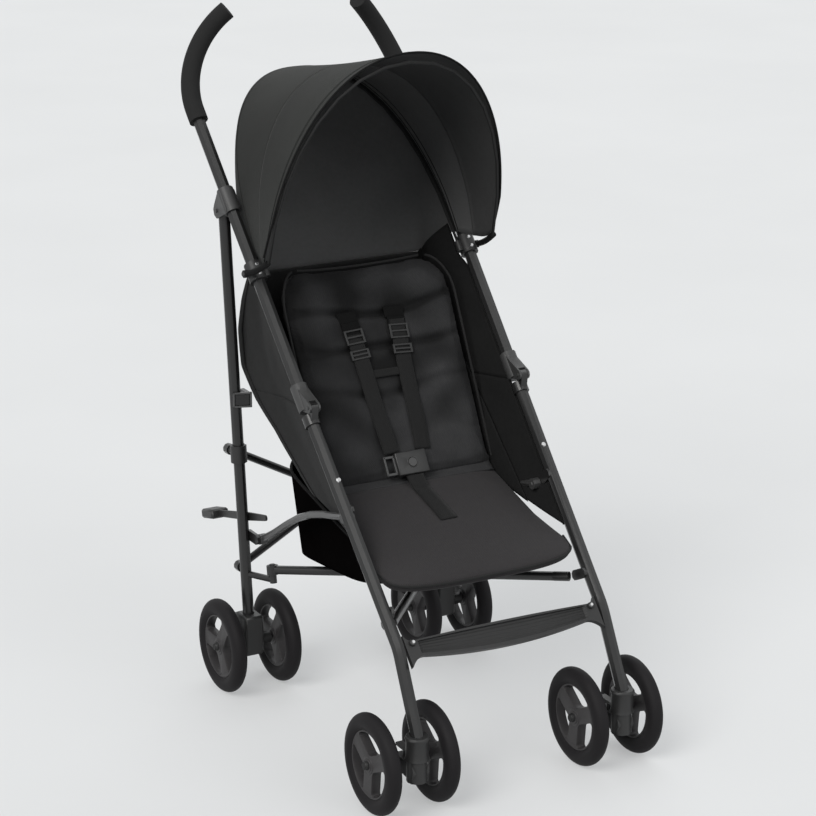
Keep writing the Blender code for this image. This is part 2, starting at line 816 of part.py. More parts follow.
def build_bracket(side, word):
    pivot = bracket_pivot(side)
    near = handle_point(side, BRACKET_DISTANCE)
    half = (handle_direction(side) * (BRACKET_LENGTH / 2))
    wall = LEG_TUBE_RADIUS + BRACKET_WALL
    sleeve = rod("leg_bracket_" + word, near - half, near + half, wall, 12)
    edge = BRACKET_LENGTH / 2 - wall * 0.5
    low = handle_point(side, BRACKET_DISTANCE - edge)
    high = handle_point(side, BRACKET_DISTANCE + edge)
    outline = hull_outline((
        (pivot.y, pivot.z, BRACKET_EAR_RADIUS), (low.y, low.z, wall * 0.5),
        (high.y, high.z, wall * 0.5)), 8)
    ear = plate("bracket ear " + word, outline, 2 * (wall - BRACKET_EAR_STEP), pivot.x)
    slot_half = REAR_TUBE_RADIUS + SIDE_PLAY
    middle = handle_behind(side, BRACKET_DISTANCE, wall + BRACKET_OFFSET - BRACKET_EAR_STEP)
    turn = Matrix.Rotation(-HANDLE_TILT, 4, "X")
    slot = block("bracket slot " + word, shift_x(middle, 0.0),
                 (2 * slot_half, 2 * BRACKET_OFFSET, 3 * BRACKET_LENGTH), turn)
    bore = rod("bracket bore " + word, near - half * 2, near + half * 2, LEG_TUBE_RADIUS + TOUCH, 16)
    pin = rod("bracket pin " + word, shift_x(pivot, -wall - RIVET_HEIGHT),
              shift_x(pivot, wall + RIVET_HEIGHT),
              BRACKET_PIN_RADIUS, 12)
    unite(sleeve, ear)
    cut(sleeve, slot, bore)
    finish(unite(sleeve, pin), PLASTIC)


def build_clip(side, word):
    centre = handle_point(side, CLIP_DISTANCE)
    half = handle_direction(side) * (CLIP_LENGTH / 2)
    wall = LEG_TUBE_RADIUS + CLIP_WALL
    sleeve = rod("canopy_clip_" + word, centre - half, centre + half, wall, 12)
    path = rear_bow_path(side)
    down = (path[0] - path[1]).normalized()
    socket = rod("clip socket " + word, path[0] + down * CLIP_BOW_WALL,
                 path[0] - down * CLIP_SOCKET_LENGTH, BOW_RADIUS + CLIP_BOW_WALL, 12)
    bow_bore = rod("clip bow bore " + word, path[0] + down * TOUCH,
                   path[0] - down * 2 * CLIP_SOCKET_LENGTH, BOW_RADIUS + TOUCH, 12)
    bore = rod("clip bore " + word, centre - half * 2, centre + half * 2, LEG_TUBE_RADIUS + TOUCH, 16)
    eye = front_bow_eye(side)
    inner = Vector((side * (centre.x * side + wall * 0.9), eye.y, eye.z))
    outer = shift_x(eye, side * (BOW_EYE_WIDTH / 2 + SIDE_PLAY))
    pin = axis_pin("clip pin " + word, inner, outer, BOW_PIN_RADIUS, BOW_PIN_HEAD, RIVET_HEIGHT)
    unite(sleeve, socket)
    cut(sleeve, bow_bore, bore)
    finish(unite(sleeve, pin), PLASTIC)


def build_rear_leg(side, word):
    way = rear_direction(side)
    foot = rear_point(side, HOUSING_TOP - LEG_SEAT_DEPTH)
    top = bracket_pivot(side) + way * REAR_LEG_OVERRUN
    leg = rod("rear_leg_" + word, foot, top, REAR_TUBE_RADIUS, 14)
    pivot = bracket_pivot(side)
    hole = rod("leg hole " + word, shift_x(pivot, -0.02), shift_x(pivot, 0.02),
               BRACKET_PIN_RADIUS + PIN_PLAY, 12)
    link = link_rear(side)
    link_lug = lug("rear link lug " + word, side, rear_point(side, link.z), link, LINK_LUG_X)
    link_pin = axis_pin("rear link pin " + word, shift_x(link, side * LINK_EYE_WIDTH),
                        shift_x(link, -side * (LINK_EYE_WIDTH / 2 + SIDE_PLAY)), LINK_PIN_RADIUS,
                        LINK_PIN_HEAD, RIVET_HEIGHT)
    brace = brace_ends(side)[1]
    axis = brace_axis(side)
    brace_foot = brace - axis * (BRACE_EYE_WIDTH / 2 + SIDE_PLAY)
    arm_end = brace_foot - axis * LUG_RADIUS
    arm = rod("brace arm " + word, rear_point(side, arm_end.z), arm_end,
              LUG_THICKNESS, 12)
    knob = rod("brace knob " + word, brace_foot - axis * (LUG_RADIUS + LUG_THICKNESS), brace_foot,
               LUG_THICKNESS * 1.1, 12)
    brace_pin = axis_pin("brace pin " + word, brace_foot - axis * SIDE_PLAY,
                         brace + axis * (BRACE_EYE_WIDTH / 2 + SIDE_PLAY), BRACE_PIN_RADIUS,
                         LINK_PIN_HEAD, RIVET_HEIGHT)
    layer = bar_layer(side)
    back = -rear_forward(side)
    low = rear_point(side, REAR_BAR_LOW_Z)
    bar_eye = rear_bar_end(side, REAR_BAR_LOW_Z, layer)
    boss_end = bar_eye - back * (BAR_EYE_HALF + SIDE_PLAY)
    boss = rod("bar boss " + word, low, boss_end, BAR_BOSS_RADIUS, 10)
    bar_pin = axis_pin("bar pin " + word, boss_end - back * SIDE_PLAY,
                       bar_eye + back * (BAR_EYE_HALF + SIDE_PLAY), LINK_PIN_RADIUS,
                       LINK_PIN_HEAD, RIVET_HEIGHT)
    unite(leg, link_lug, link_pin, arm, knob, brace_pin, boss, bar_pin)
    if side == RIGHT:
        lever_base = lever_pivot()
        lever_pin = axis_pin("lever pin", rear_point(side, lever_base.z),
                             shift_x(lever_base, LEVER_THICKNESS / 2 + SIDE_PLAY), LEVER_PIN_RADIUS,
                             LINK_PIN_HEAD, RIVET_HEIGHT)
        spot = rear_point(side, HOOK_Z)
        hook_centre = shift_x(spot, HOOK_OFFSET)
        stem = block("hook stem", shift_x(spot, HOOK_OFFSET / 2),
                     (HOOK_OFFSET, HOOK_STEM, HOOK_HEIGHT * 0.6), rear_lean(side))
        hook = block("hook plate", hook_centre, (HOOK_THICKNESS, HOOK_WIDTH, HOOK_HEIGHT))
        window = block("hook window", shift_x(hook_centre, HOOK_THICKNESS / 2),
                       (HOOK_THICKNESS, HOOK_WIDTH * 0.6, HOOK_HEIGHT * 0.6))
        unite(leg, lever_pin, stem, hook)
        cut(leg, window)
    finish(cut(leg, hole), FRAME)


def build_slider(side, word):
    centre = rear_point(side, SLIDER_Z)
    half = rear_direction(side) * (SLIDER_LENGTH / 2)
    outer = REAR_TUBE_RADIUS + TOUCH + SLIDER_WALL
    ring = rod("slider_" + word, centre - half, centre + half, outer, 16)
    back = -rear_forward(side)
    end = rear_bar_end(side, SLIDER_Z, bar_layer(-side)) - back * (BAR_EYE_HALF + SIDE_PLAY)
    boss = rod("slider boss " + word, centre, end, BAR_BOSS_RADIUS, 10)
    bore = rod("slider bore " + word, centre - half * 2, centre + half * 2, REAR_TUBE_RADIUS + TOUCH, 16)
    slot = block("slider slot " + word, shift_x(centre, -side * outer),
                 (2 * outer - REAR_TUBE_RADIUS, HOOK_STEM + 4 * SIDE_PLAY, 2 * SLIDER_LENGTH),
                 rear_lean(side))
    finish(cut(unite(ring, boss), bore, slot), PLASTIC)


def build_rear_bar(side, word):
    layer = bar_layer(side)
    back = -rear_forward(side)
    low = rear_bar_end(side, REAR_BAR_LOW_Z, layer)
    high = rear_bar_end(-side, SLIDER_Z, layer)
    way = (high - low).normalized()
    bar = rod("rear_cross_bar_" + word, low, high, REAR_BAR_RADIUS, 12)
    eye = rod("bar eye " + word, low - back * BAR_EYE_HALF, low + back * BAR_EYE_HALF,
              BAR_EYE_RADIUS, 10)
    head = rod("bar head " + word, high - back * BAR_EYE_HALF, high + back * BAR_EYE_HALF,
               BAR_EYE_RADIUS, 10)
    stud = rivet("bar stud " + word, high + back * BAR_EYE_HALF, back)
    hole = rod("bar hole " + word, low - back * BAR_EYE_RADIUS, low + back * BAR_EYE_RADIUS,
               LINK_PIN_RADIUS + PIN_PLAY, 12)
    finish(cut(unite(bar, eye, head, stud), hole), FRAME)


def build_link(side, word):
    front = link_front(side)
    rear = link_rear(side)
    points = [front]
    for along, lift in LINK_SHAPE:
        points.append(front.lerp(rear, along) + Vector((0.0, 0.0, lift * LINK_RISE)))
    points.append(rear)
    bar = tube("side_link_" + word, points, LINK_RADIUS, 2)
    half = LINK_EYE_WIDTH / 2
    front_eye = rod("link front eye " + word, shift_x(front, -half), shift_x(front, half),
                    LINK_EYE_RADIUS, 10)
    rear_eye = rod("link rear eye " + word, shift_x(rear, -half), shift_x(rear, half), LINK_EYE_RADIUS, 10)
    stud = rivet("link stud " + word, shift_x(front, -side * half), (-side, 0.0, 0.0))
    hole = rod("link hole " + word, shift_x(rear, -2 * half), shift_x(rear, 2 * half),
               LINK_PIN_RADIUS + PIN_PLAY, 12)
    finish(cut(unite(bar, front_eye, rear_eye, stud), hole), FRAME)


def build_brace(side, word):
    front, rear = brace_ends(side)
    axis = brace_axis(side)
    way = (front - rear).normalized()
    half = axis * (BRACE_EYE_WIDTH / 2)
    bar = rod("seat_brace_" + word, rear, front - way * BRACE_EYE_RADIUS, CROSS_TUBE_RADIUS, 12)
    eye = rod("brace eye " + word, rear - half, rear + half, BRACE_EYE_RADIUS, 10)
    tip = rod("brace tip " + word, front - way * BRACE_TIP_LENGTH, front, BRACE_TIP_RADIUS, 12)
    hole = rod("brace hole " + word, rear - half * 2, rear + half * 2, BRACE_PIN_RADIUS + PIN_PLAY, 12)
    finish(cut(unite(bar, eye, tip), hole), FRAME)


# Wheels, casters and rear housings
def axle(name, centre):
    half = WHEEL_PAIR_GAP / 2 + HUB_WIDTH / 2 + SIDE_PLAY
    profile = (
        (0.0, half + AXLE_HEAD_LENGTH), (AXLE_HEAD_RADIUS * 0.8, half + AXLE_HEAD_LENGTH),
        (AXLE_HEAD_RADIUS, half), (AXLE_RADIUS, half), (AXLE_RADIUS, -half),
        (AXLE_HEAD_RADIUS, -half), (AXLE_HEAD_RADIUS * 0.8, -half - AXLE_HEAD_LENGTH),
        (0.0, -half - AXLE_HEAD_LENGTH))
    finish(turned(name, profile, centre, (1.0, 0.0, 0.0), 10), METAL)


def wheel_profile():
    bore = AXLE_RADIUS + BORE_PLAY
    hub = HUB_WIDTH / 2
    web = WEB_THICKNESS / 2
    half = TYRE_WIDTH / 2
    upper = [
        (bore, hub), (HUB_RADIUS, hub), (HUB_RADIUS, web),
        (RIM_RADIUS - RIM_LIP, web)]
    tyre = []
    for i in range(TYRE_STEPS + 1):
        a = math.pi / 2 - math.pi * i / TYRE_STEPS
        reach = math.copysign(abs(math.cos(a)) ** TYRE_SQUARENESS, math.cos(a))
        tyre.append((RIM_RADIUS + RIM_LIP + (WHEEL_RADIUS - RIM_RADIUS - RIM_LIP) * max(reach, 0.0),
                     half * math.sin(a)))
    lower = [(radius, -height) for radius, height in reversed(upper)]
    return upper + tyre + lower


def wheel_opening(index):
    # Bean shaped opening between two spokes, as (u, v) in the plane of the wheel
    inner = HUB_RADIUS + OPENING_MARGIN
    outer = RIM_RADIUS - RIM_LIP - OPENING_MARGIN
    middle = 2 * math.pi * index / SPOKE_COUNT
    points = []
    for radius, sign in ((outer, 1), (inner, -1)):
        half = math.pi / SPOKE_COUNT - (SPOKE_HALF_WIDTH + OPENING_CORNER) / radius
        for i in range(4):
            a = middle + sign * half * (i / 1.5 - 1)
            points.append((radius * math.cos(a), radius * math.sin(a)))
    return points


def build_wheel(name, centre, turn):
    wheel = turned(name, wheel_profile(), centre, (1.0, 0.0, 0.0), WHEEL_STEPS)
    for index in range(SPOKE_COUNT):
        outline = []
        for u, v in wheel_opening(index):
            y = u * math.cos(turn) - v * math.sin(turn)
            z = u * math.sin(turn) + v * math.cos(turn)
            outline.append((centre.y + y, centre.z + z))
        cut(wheel, plate("opening " + name + str(index), outline, HUB_WIDTH, centre.x))
    finish(wheel, TYRE, 35.0)


def build_caster(side, word):
    axis_low = caster_axis(side, FORK_BOTTOM)
    hub = front_axle_point(side)
    wall = SOCKET_RADIUS
    profile = (
        (0.0, SOCKET_TOP), (wall, SOCKET_TOP), (wall + SOCKET_RING, SOCKET_TOP - 2 * SOCKET_RING),
        (wall, SOCKET_TOP - 5 * SOCKET_RING), (wall, SOCKET_BOTTOM + 4 * SOCKET_RING),
        (wall + SOCKET_RING, SOCKET_BOTTOM), (0.0, SOCKET_BOTTOM))
    socket = turned("caster_socket_" + word, profile, caster_axis(side, 0.0), (0.0, 0.0, 1.0), 12)
    down = Vector((-side * (LEG_BEND_X - FRONT_TRACK / 2), -math.sin(SHANK_TILT) * SHANK_LENGTH,
                   -math.cos(SHANK_TILT) * SHANK_LENGTH))
    top = leg_point(side, 0.0) + down * (1 - LEG_SEAT_DEPTH * 1.5 / SHANK_LENGTH)
    foot = leg_point(side, 0.0) + down * (1 + TOUCH / SHANK_LENGTH)
    shank_bore = rod("shank bore " + word, foot, top, LEG_TUBE_RADIUS + TOUCH, 16)
    stem_bore = rod("stem bore " + word, caster_axis(side, SOCKET_BOTTOM - SOCKET_RADIUS),
                    caster_axis(side, STEM_TOP + 4 * TOUCH), STEM_RADIUS + BORE_PLAY, 14)
    finish(cut(socket, shank_bore, stem_bore), PLASTIC)
    fork_top = SOCKET_BOTTOM - TOUCH
    fork = rod("caster_fork_" + word, axis_low, caster_axis(side, fork_top), SOCKET_RADIUS * 0.92, 12)
    outline = hull_outline((
        (axis_low.y, FORK_ARM_Z, FORK_ARM_RADIUS), (hub.y, hub.z, AXLE_BOSS_RADIUS)), 8)
    arm = plate("fork arm " + word, outline, FORK_WIDTH, hub.x)
    boss_half = WHEEL_PAIR_GAP / 2 - HUB_WIDTH / 2 - SIDE_PLAY
    boss = rod("fork boss " + word, shift_x(hub, -boss_half), shift_x(hub, boss_half), AXLE_BOSS_RADIUS, 10)
    stem = rod("fork stem " + word, caster_axis(side, fork_top - STEM_RADIUS), caster_axis(side, STEM_TOP),
               STEM_RADIUS, 14)
    lock = lock_pivot(side)
    ear_foot = lock + Vector((0.0, LOCK_KNUCKLE_RADIUS, -LOCK_EAR_DROP))
    ears = []
    for sign in (-1, 1):
        ear_x = lock.x + sign * (SWIVEL_LOCK_WIDTH / 2 - LOCK_EAR_WIDTH / 2)
        ear = hull_outline((
            (lock.y, lock.z, LOCK_KNUCKLE_RADIUS), (ear_foot.y, ear_foot.z, LOCK_KNUCKLE_RADIUS)), 8)
        ears.append(plate("fork ear " + word + str(sign), ear, LOCK_EAR_WIDTH, ear_x))
    lock_pin = rod("lock pin " + word, shift_x(lock, -SWIVEL_LOCK_WIDTH / 2),
                   shift_x(lock, SWIVEL_LOCK_WIDTH / 2), LOCK_PIN_RADIUS, 10)
    unite(fork, arm, boss, stem, *ears, lock_pin)
    hole = rod("fork bore " + word, shift_x(hub, -2 * boss_half), shift_x(hub, 2 * boss_half),
               AXLE_RADIUS + BORE_PLAY, 14)
    finish(cut(fork, hole), PLASTIC)
    axle("front_axle_" + word, hub)
    inner_width = SWIVEL_LOCK_WIDTH - 2 * LOCK_EAR_WIDTH - 2 * SIDE_PLAY
    knuckle = rod("swivel_lock_" + word, shift_x(lock, -inner_width / 2), shift_x(lock, inner_width / 2),
                  LOCK_KNUCKLE_RADIUS, 12)
    tab = block("lock tab " + word, lock + Vector((0.0, SWIVEL_LOCK_LENGTH / 2, SWIVEL_LOCK_THICKNESS / 4)),
                (inner_width, SWIVEL_LOCK_LENGTH, SWIVEL_LOCK_THICKNESS * 0.8))
    lock_hole = rod("lock hole " + word, shift_x(lock, -SWIVEL_LOCK_WIDTH), shift_x(lock, SWIVEL_LOCK_WIDTH),
                    LOCK_PIN_RADIUS + PIN_PLAY, 10)
    finish(cut(unite(knuckle, tab), lock_hole), PLASTIC)


def build_housing(side, word):
    hub = rear_axle_point(side)
    middle = (HOUSING_TOP + HOUSING_BOTTOM) / 2
    body = block("rear_housing_" + word, Vector((hub.x, hub.y, middle)),
                 (HOUSING_WIDTH, HOUSING_DEPTH, HOUSING_TOP - HOUSING_BOTTOM))
    bevel = body.modifiers.new("edges", "BEVEL")
    bevel.width = HOUSING_BEVEL
    bevel.segments = 1
    boss_half = WHEEL_PAIR_GAP / 2 - HUB_WIDTH / 2 - SIDE_PLAY
    boss = rod("housing boss " + word, shift_x(hub, -boss_half), shift_x(hub, boss_half),
               AXLE_BOSS_RADIUS, 10)
    pedal = pedal_pivot(side)
    parts = [boss]
    for sign in (-1, 1):
        ear_x = pedal.x + sign * (PEDAL_WIDTH / 2 + SIDE_PLAY + PEDAL_EAR_WIDTH / 2)
        ear = hull_outline((
            (pedal.y, pedal.z, PEDAL_KNUCKLE_RADIUS),
            (hub.y + HOUSING_DEPTH / 2 - PEDAL_KNUCKLE_RADIUS * 2, pedal.z, PEDAL_KNUCKLE_RADIUS * 1.4)), 8)
        parts.append(plate("housing ear " + word + str(sign), ear, PEDAL_EAR_WIDTH, ear_x))
    reach = PEDAL_WIDTH / 2 + SIDE_PLAY + PEDAL_EAR_WIDTH
    parts.append(rod("pedal pin " + word, shift_x(pedal, -reach), shift_x(pedal, reach),
                     PEDAL_PIN_RADIUS, 10))
    unite(body, *parts)
    leg_bore = rod("leg bore " + word, rear_point(side, HOUSING_TOP - LEG_SEAT_DEPTH - TOUCH),
                   rear_point(side, HOUSING_TOP + LEG_SEAT_DEPTH), REAR_TUBE_RADIUS + TOUCH, 16)
    hole = rod("axle bore " + word, shift_x(hub, -2 * boss_half), shift_x(hub, 2 * boss_half),
               AXLE_RADIUS + BORE_PLAY, 14)
    finish(cut(body, leg_bore, hole), PLASTIC)
    axle("rear_axle_" + word, hub)
    knuckle = rod("brake_pedal_" + word, shift_x(pedal, -PEDAL_WIDTH / 2), shift_x(pedal, PEDAL_WIDTH / 2),
                  PEDAL_KNUCKLE_RADIUS, 12)
    tread = block("pedal tread " + word, pedal + Vector((0.0, PEDAL_LENGTH / 2, PEDAL_THICKNESS * 0.1)),
                  (PEDAL_WIDTH, PEDAL_LENGTH, PEDAL_THICKNESS))
    pedal_hole = rod("pedal hole " + word, shift_x(pedal, -PEDAL_WIDTH), shift_x(pedal, PEDAL_WIDTH),
                     PEDAL_PIN_RADIUS + PIN_PLAY, 10)
    finish(cut(unite(knuckle, tread), pedal_hole), PLASTIC)


def build_lever():
    pivot = lever_pivot()
    slope = Vector((0.0, math.cos(LEVER_SLOPE), -math.sin(LEVER_SLOPE)))
    front = pivot - slope * LEVER_FRONT
    rear = pivot + slope * LEVER_REAR
    half = LEVER_HEIGHT / 2
    outline = hull_outline(((front.y, front.z, half * 0.7), (pivot.y, pivot.z, half)), 10)
    blade = plate("lock_lever", outline, LEVER_THICKNESS, pivot.x)
    outline = hull_outline(((pivot.y, pivot.z, half), (rear.y, rear.z, half * 0.8)), 10)
    tail = plate("lever tail", outline, LEVER_THICKNESS, pivot.x)
    turn = Matrix.Rotation(-LEVER_SLOPE, 4, "X")
    pedal = block("lever pedal", rear + slope * (LEVER_PEDAL_LENGTH / 2 - half),
                  (LEVER_PEDAL_WIDTH, LEVER_PEDAL_LENGTH, LEVER_PEDAL_HEIGHT), turn)
    bevel = pedal.modifiers.new("edges", "BEVEL")
    bevel.width = HOUSING_BEVEL
    bevel.segments = 1
    hole = rod("lever hole", shift_x(pivot, -LEVER_HEIGHT), shift_x(pivot, LEVER_HEIGHT),
               LEVER_PIN_RADIUS + PIN_PLAY, 12)
    finish(cut(unite(blade, tail, pedal), hole), PLASTIC)


# Soft parts
def grid_solid(name, columns, rows, point, thickness, material, offset=0.0):
    # Sheet of quads whose vertices come from point(u, v), given a thickness
    bm = bmesh.new()
    verts = []
    for j in range(rows + 1):
        verts.append([bm.verts.new(point(i / columns, j / rows)) for i in range(columns + 1)])
    for j in range(rows):
        for i in range(columns):
            bm.faces.new((verts[j][i], verts[j][i + 1], verts[j + 1][i + 1], verts[j + 1][i]))
    mesh = bpy.data.meshes.new(name)
    bm.to_mesh(mesh)
    bm.free()
    item = add_object(name, mesh, material)
    solid = item.modifiers.new("thickness", "SOLIDIFY")
    solid.thickness = thickness
    solid.offset = offset
    solid.use_even_offset = True
    return finish(item, material, 60.0)


def closed_solid(name, columns, rows, upper, lower, material):
    # Cushion between an upper and a lower surface that share their outline grid
    bm = bmesh.new()
    sheets = []
    for point in (upper, lower):
        sheets.append([[bm.verts.new(point(i / columns, j / rows)) for i in range(columns + 1)]
                       for j in range(rows + 1)])
    top, bottom = sheets
    for j in range(rows):
        for i in range(columns):
            bm.faces.new((top[j][i], top[j][i + 1], top[j + 1][i + 1], top[j + 1][i]))
            bm.faces.new((bottom[j][i], bottom[j + 1][i], bottom[j + 1][i + 1], bottom[j][i + 1]))
    for i in range(columns):
        bm.faces.new((top[0][i + 1], top[0][i], bottom[0][i], bottom[0][i + 1]))
        bm.faces.new((top[rows][i], top[rows][i + 1], bottom[rows][i + 1], bottom[rows][i]))
    for j in range(rows):
        bm.faces.new((top[j][0], top[j + 1][0], bottom[j + 1][0], bottom[j][0]))
        bm.faces.new((top[j + 1][columns], top[j][columns], bottom[j][columns], bottom[j + 1][columns]))
    return finish(add_object(name, mesh_from_bmesh(name, bm), material), material, 60.0)


def build_footrest():
    along = leg_direction(0)
    half = LEG_BEND_X - LEG_TUBE_RADIUS - TOUCH

    def point(u, v):
        across = 2 * u - 1
        waist = FOOTREST_WAIST * (1 - across ** 2) / 2
        height = FOOTREST_LOW_DISTANCE + waist + (FOOTREST_HEIGHT - 2 * waist) * v
        base = place(0, 0.0, LEG_BEND_Y, LEG_BEND_Z) + along * (height - FOOTREST_BOW * (1 - across ** 2))
        splay = LEG_SPLAY * min(height, 0.0)
        return Vector((across * (half + splay), base.y, base.z))

    item = grid_solid("footrest", FOOTREST_STEPS, 4, point, FOOTREST_THICKNESS, PLASTIC)
    return item


def seat_top(u, v):
    across = 2 * u - 1
    inset = SEAT_CORNER * (1 - (1 - abs(across) ** SEAT_CORNER_POWER) ** (1 / SEAT_CORNER_POWER))
    start = inset * (1 - v)
    distance = start + (SEAT_DEPTH - start) * v
    half = SEAT_HALF_WIDTH + SEAT_FLARE * max(0.0, 1 - v / SEAT_FLARE_END)
    crown = SEAT_CROWN * (1 - across ** 4) * (1 - (2 * v - 1) ** 4)
    y = SEAT_FRONT_Y + distance * math.cos(SEAT_SLOPE) - crown * math.sin(SEAT_SLOPE)
    z = SEAT_FRONT_Z + distance * math.sin(SEAT_SLOPE) + crown * math.cos(SEAT_SLOPE)
    return place(1, across * half, y, z)


def seat_bottom(u, v):
    across = 2 * u - 1
    top = seat_top(u, v)
    crown = SEAT_CROWN * (1 - across ** 4) * (1 - (2 * v - 1) ** 4)
    drop = SEAT_THICKNESS + crown
    return top + Vector((0.0, math.sin(SEAT_SLOPE), -math.cos(SEAT_SLOPE))) * drop


def build_seat():
    closed_solid("seat_base", 12, 9, seat_top, seat_bottom, PADDING)


def pad_offset(x, s):
    # Distance of the pad's face ahead of its flat plane
    across = min(abs(x) / PAD_HALF_WIDTH, 1.0)
    dish = PAD_DISH * across ** 2.2 * (s / PAD_LENGTH)
    crown = PAD_CROWN * (1 - across ** 6)
    groove = 0.0
    for channel in PAD_CHANNELS:
        groove += math.exp(-((s - channel) / PAD_CHANNEL_WIDTH) ** 2)
    return dish + crown - PAD_CHANNEL_DEPTH * groove * (1 - across ** 6)


def pad_point(x, s, offset):
    y = PAD_FRONT_Y + s * math.sin(BACK_LEAN) - offset * math.cos(BACK_LEAN)
    z = PAD_BOTTOM_Z + s * math.cos(BACK_LEAN) + offset * math.sin(BACK_LEAN)
    return place(1, x, y, z)


def pad_width(s):
    # Rounded upper corners
    rest = max(0.0, s - (PAD_LENGTH - PAD_CORNER)) / PAD_CORNER
    return PAD_HALF_WIDTH - PAD_CORNER * (1 - math.sqrt(max(0.0, 1 - rest ** 2))) * PAD_CORNER_SHARE


def build_pad():
    def front(u, v):
        s = PAD_LENGTH * v
        x = (2 * u - 1) * pad_width(s)
        return pad_point(x, s, pad_offset(x, s))

    def rear(u, v):
        s = PAD_LENGTH * v
        x = (2 * u - 1) * pad_width(s)
        across = min(abs(x) / PAD_HALF_WIDTH, 1.0)
        dish = PAD_DISH * across ** 2.2 * (s / PAD_LENGTH)
        return pad_point(x, s, dish - PAD_THICKNESS)

    closed_solid("back_pad", 12, 20, front, rear, PADDING)


def tube_line_y(z):
    # Side view position of the front leg and handle tube at a height
    elbow = leg_point(LEFT, LEG_LENGTH)
    if z < elbow.z:
        return leg_point(LEFT, 0.0).y + (z - LEG_BEND_Z) * math.tan(LEG_TILT)
    return elbow.y + (z - elbow.z) * math.tan(HANDLE_TILT)


def build_sling():
    levels = len(SLING_REAR_LINE) - 1
    half = SLING_HALF_WIDTH

    def point(u, v):
        step = min(int(v * levels + 1e-6), levels - 1)
        part = v * levels - step
        y0, z0 = SLING_REAR_LINE[step]
        y1, z1 = SLING_REAR_LINE[step + 1]
        rear_y = y0 + (y1 - y0) * part + FRONT_AXLE_Y
        rear_z = z0 + (z1 - z0) * part
        front_z = WING_FRONT_LOW_Z + (SLING_REAR_LINE[-1][1] - WING_FRONT_LOW_Z) * v
        front_y = tube_line_y(front_z) + WING_INSET
        across = 2 * u - 1
        wing = SLING_WING_SHARE
        if abs(across) > 1 - wing:
            share = (abs(across) - (1 - wing)) / wing
            x = math.copysign(half, across)
            y = rear_y + (front_y - rear_y) * share
            z = rear_z + (front_z - rear_z) * share
        else:
            share = abs(across) / (1 - wing)
            x = math.copysign(half * share, across)
            y = rear_y + SLING_BELLY * math.sin(math.pi * v) * (1 - share ** 4)
            z = rear_z
        return Vector((x, y, z))

    grid_solid("backrest_fabric", 14, 9, point, SLING_THICKNESS, CLOTH)


def build_basket():
    def point(u, v):
        # v runs down the rear wall, along the bottom and up the front wall
        across = 2 * u - 1
        angle = 2 * math.pi * u
        depth = min(v * 2, 1.0)
        taper = BASKET_TAPER * depth
        half_x = BASKET_HALF_WIDTH - taper
        mid_y = (BASKET_FRONT_Y + BASKET_REAR_Y) / 2
        half_y = (BASKET_REAR_Y - BASKET_FRONT_Y) / 2 - taper
        shrink = 1.0 if v <= 0.5 else 2 * (1 - v)
        c = math.cos(angle)
        s = math.sin(angle)
        power = 2 / BASKET_CORNER_POWER
        x = half_x * math.copysign(abs(c) ** power, c) * shrink
        dy = half_y * math.copysign(abs(s) ** power, s) * shrink
        rim = BASKET_TOP_FRONT_Z + (BASKET_TOP_REAR_Z - BASKET_TOP_FRONT_Z) * (dy / half_y + 1) / 2
        fall = BASKET_BOTTOM_REAR_Z - BASKET_BOTTOM_FRONT_Z
        floor = BASKET_BOTTOM_FRONT_Z + fall * (dy / half_y + 1) / 2
        z = rim + (floor - rim) * depth
        return place(1, x, mid_y + dy, z)

    bm = bmesh.new()
    columns = BASKET_COLUMNS
    rings = []
    for j in range(BASKET_RINGS + 1):
        v = j / (BASKET_RINGS + 1)
        rings.append([bm.verts.new(point(i / columns, v)) for i in range(columns)])
    middle_z = (BASKET_BOTTOM_FRONT_Z + BASKET_BOTTOM_REAR_Z) / 2
    centre = bm.verts.new(place(1, 0.0, (BASKET_FRONT_Y + BASKET_REAR_Y) / 2, middle_z))
    for first, second in zip(rings, rings[1:]):
        for i in range(columns):
            k = (i + 1) % columns
            bm.faces.new((first[i], first[k], second[k], second[i]))
    for i in range(columns):
        bm.faces.new((rings[-1][i], rings[-1][(i + 1) % columns], centre))
    mesh = mesh_from_bmesh("basket", bm)
    item = add_object("basket", mesh, CLOTH)
    solid = item.modifiers.new("thickness", "SOLIDIFY")
    solid.thickness = BASKET_THICKNESS
    solid.offset = 0.0
    finish(item, CLOTH, 60.0)


# Canopy
def arch_point(t, half_width, behind, above, height, lean, power):
    # Foot of the arch given behind and above the clip's middle
    c = math.cos(t)
    s = max(math.sin(t), 0.0)
    clip = handle_point(LEFT, CLIP_DISTANCE)
    across = half_width * math.copysign(abs(c) ** (2 / power), c)
    rise = height * s ** (2 / power)
    return Vector((across, clip.y + behind + rise * math.sin(lean), clip.z + above + rise * math.cos(lean)))


def clip_x():
    return abs(handle_point(LEFT, CLIP_DISTANCE).x)


def rear_cover_half():
    return clip_x() - LEG_TUBE_RADIUS - TOUCH - CANOPY_THICKNESS / 2


def rear_arch(t):
    return arch_point(t, rear_cover_half(), REAR_BOW_BEHIND, REAR_BOW_RISE, REAR_BOW_HEIGHT,
                      REAR_BOW_LEAN, REAR_ARCH_POWER)


def front_arch(t):
    return arch_point(t, FRONT_COVER_HALF_WIDTH, -FRONT_BOW_AHEAD, FRONT_BOW_RISE, FRONT_BOW_HEIGHT,
                      FRONT_BOW_LEAN, FRONT_ARCH_POWER)


def arch_angle(u):
    return CANOPY_START + (math.pi - 2 * CANOPY_START) * u


def cover_top(u, v):
    t = arch_angle(1 - u)
    point = rear_arch(t).lerp(front_arch(t), v)
    point.z -= CANOPY_SAG * 4 * v * (1 - v) * math.sin(t)
    return point


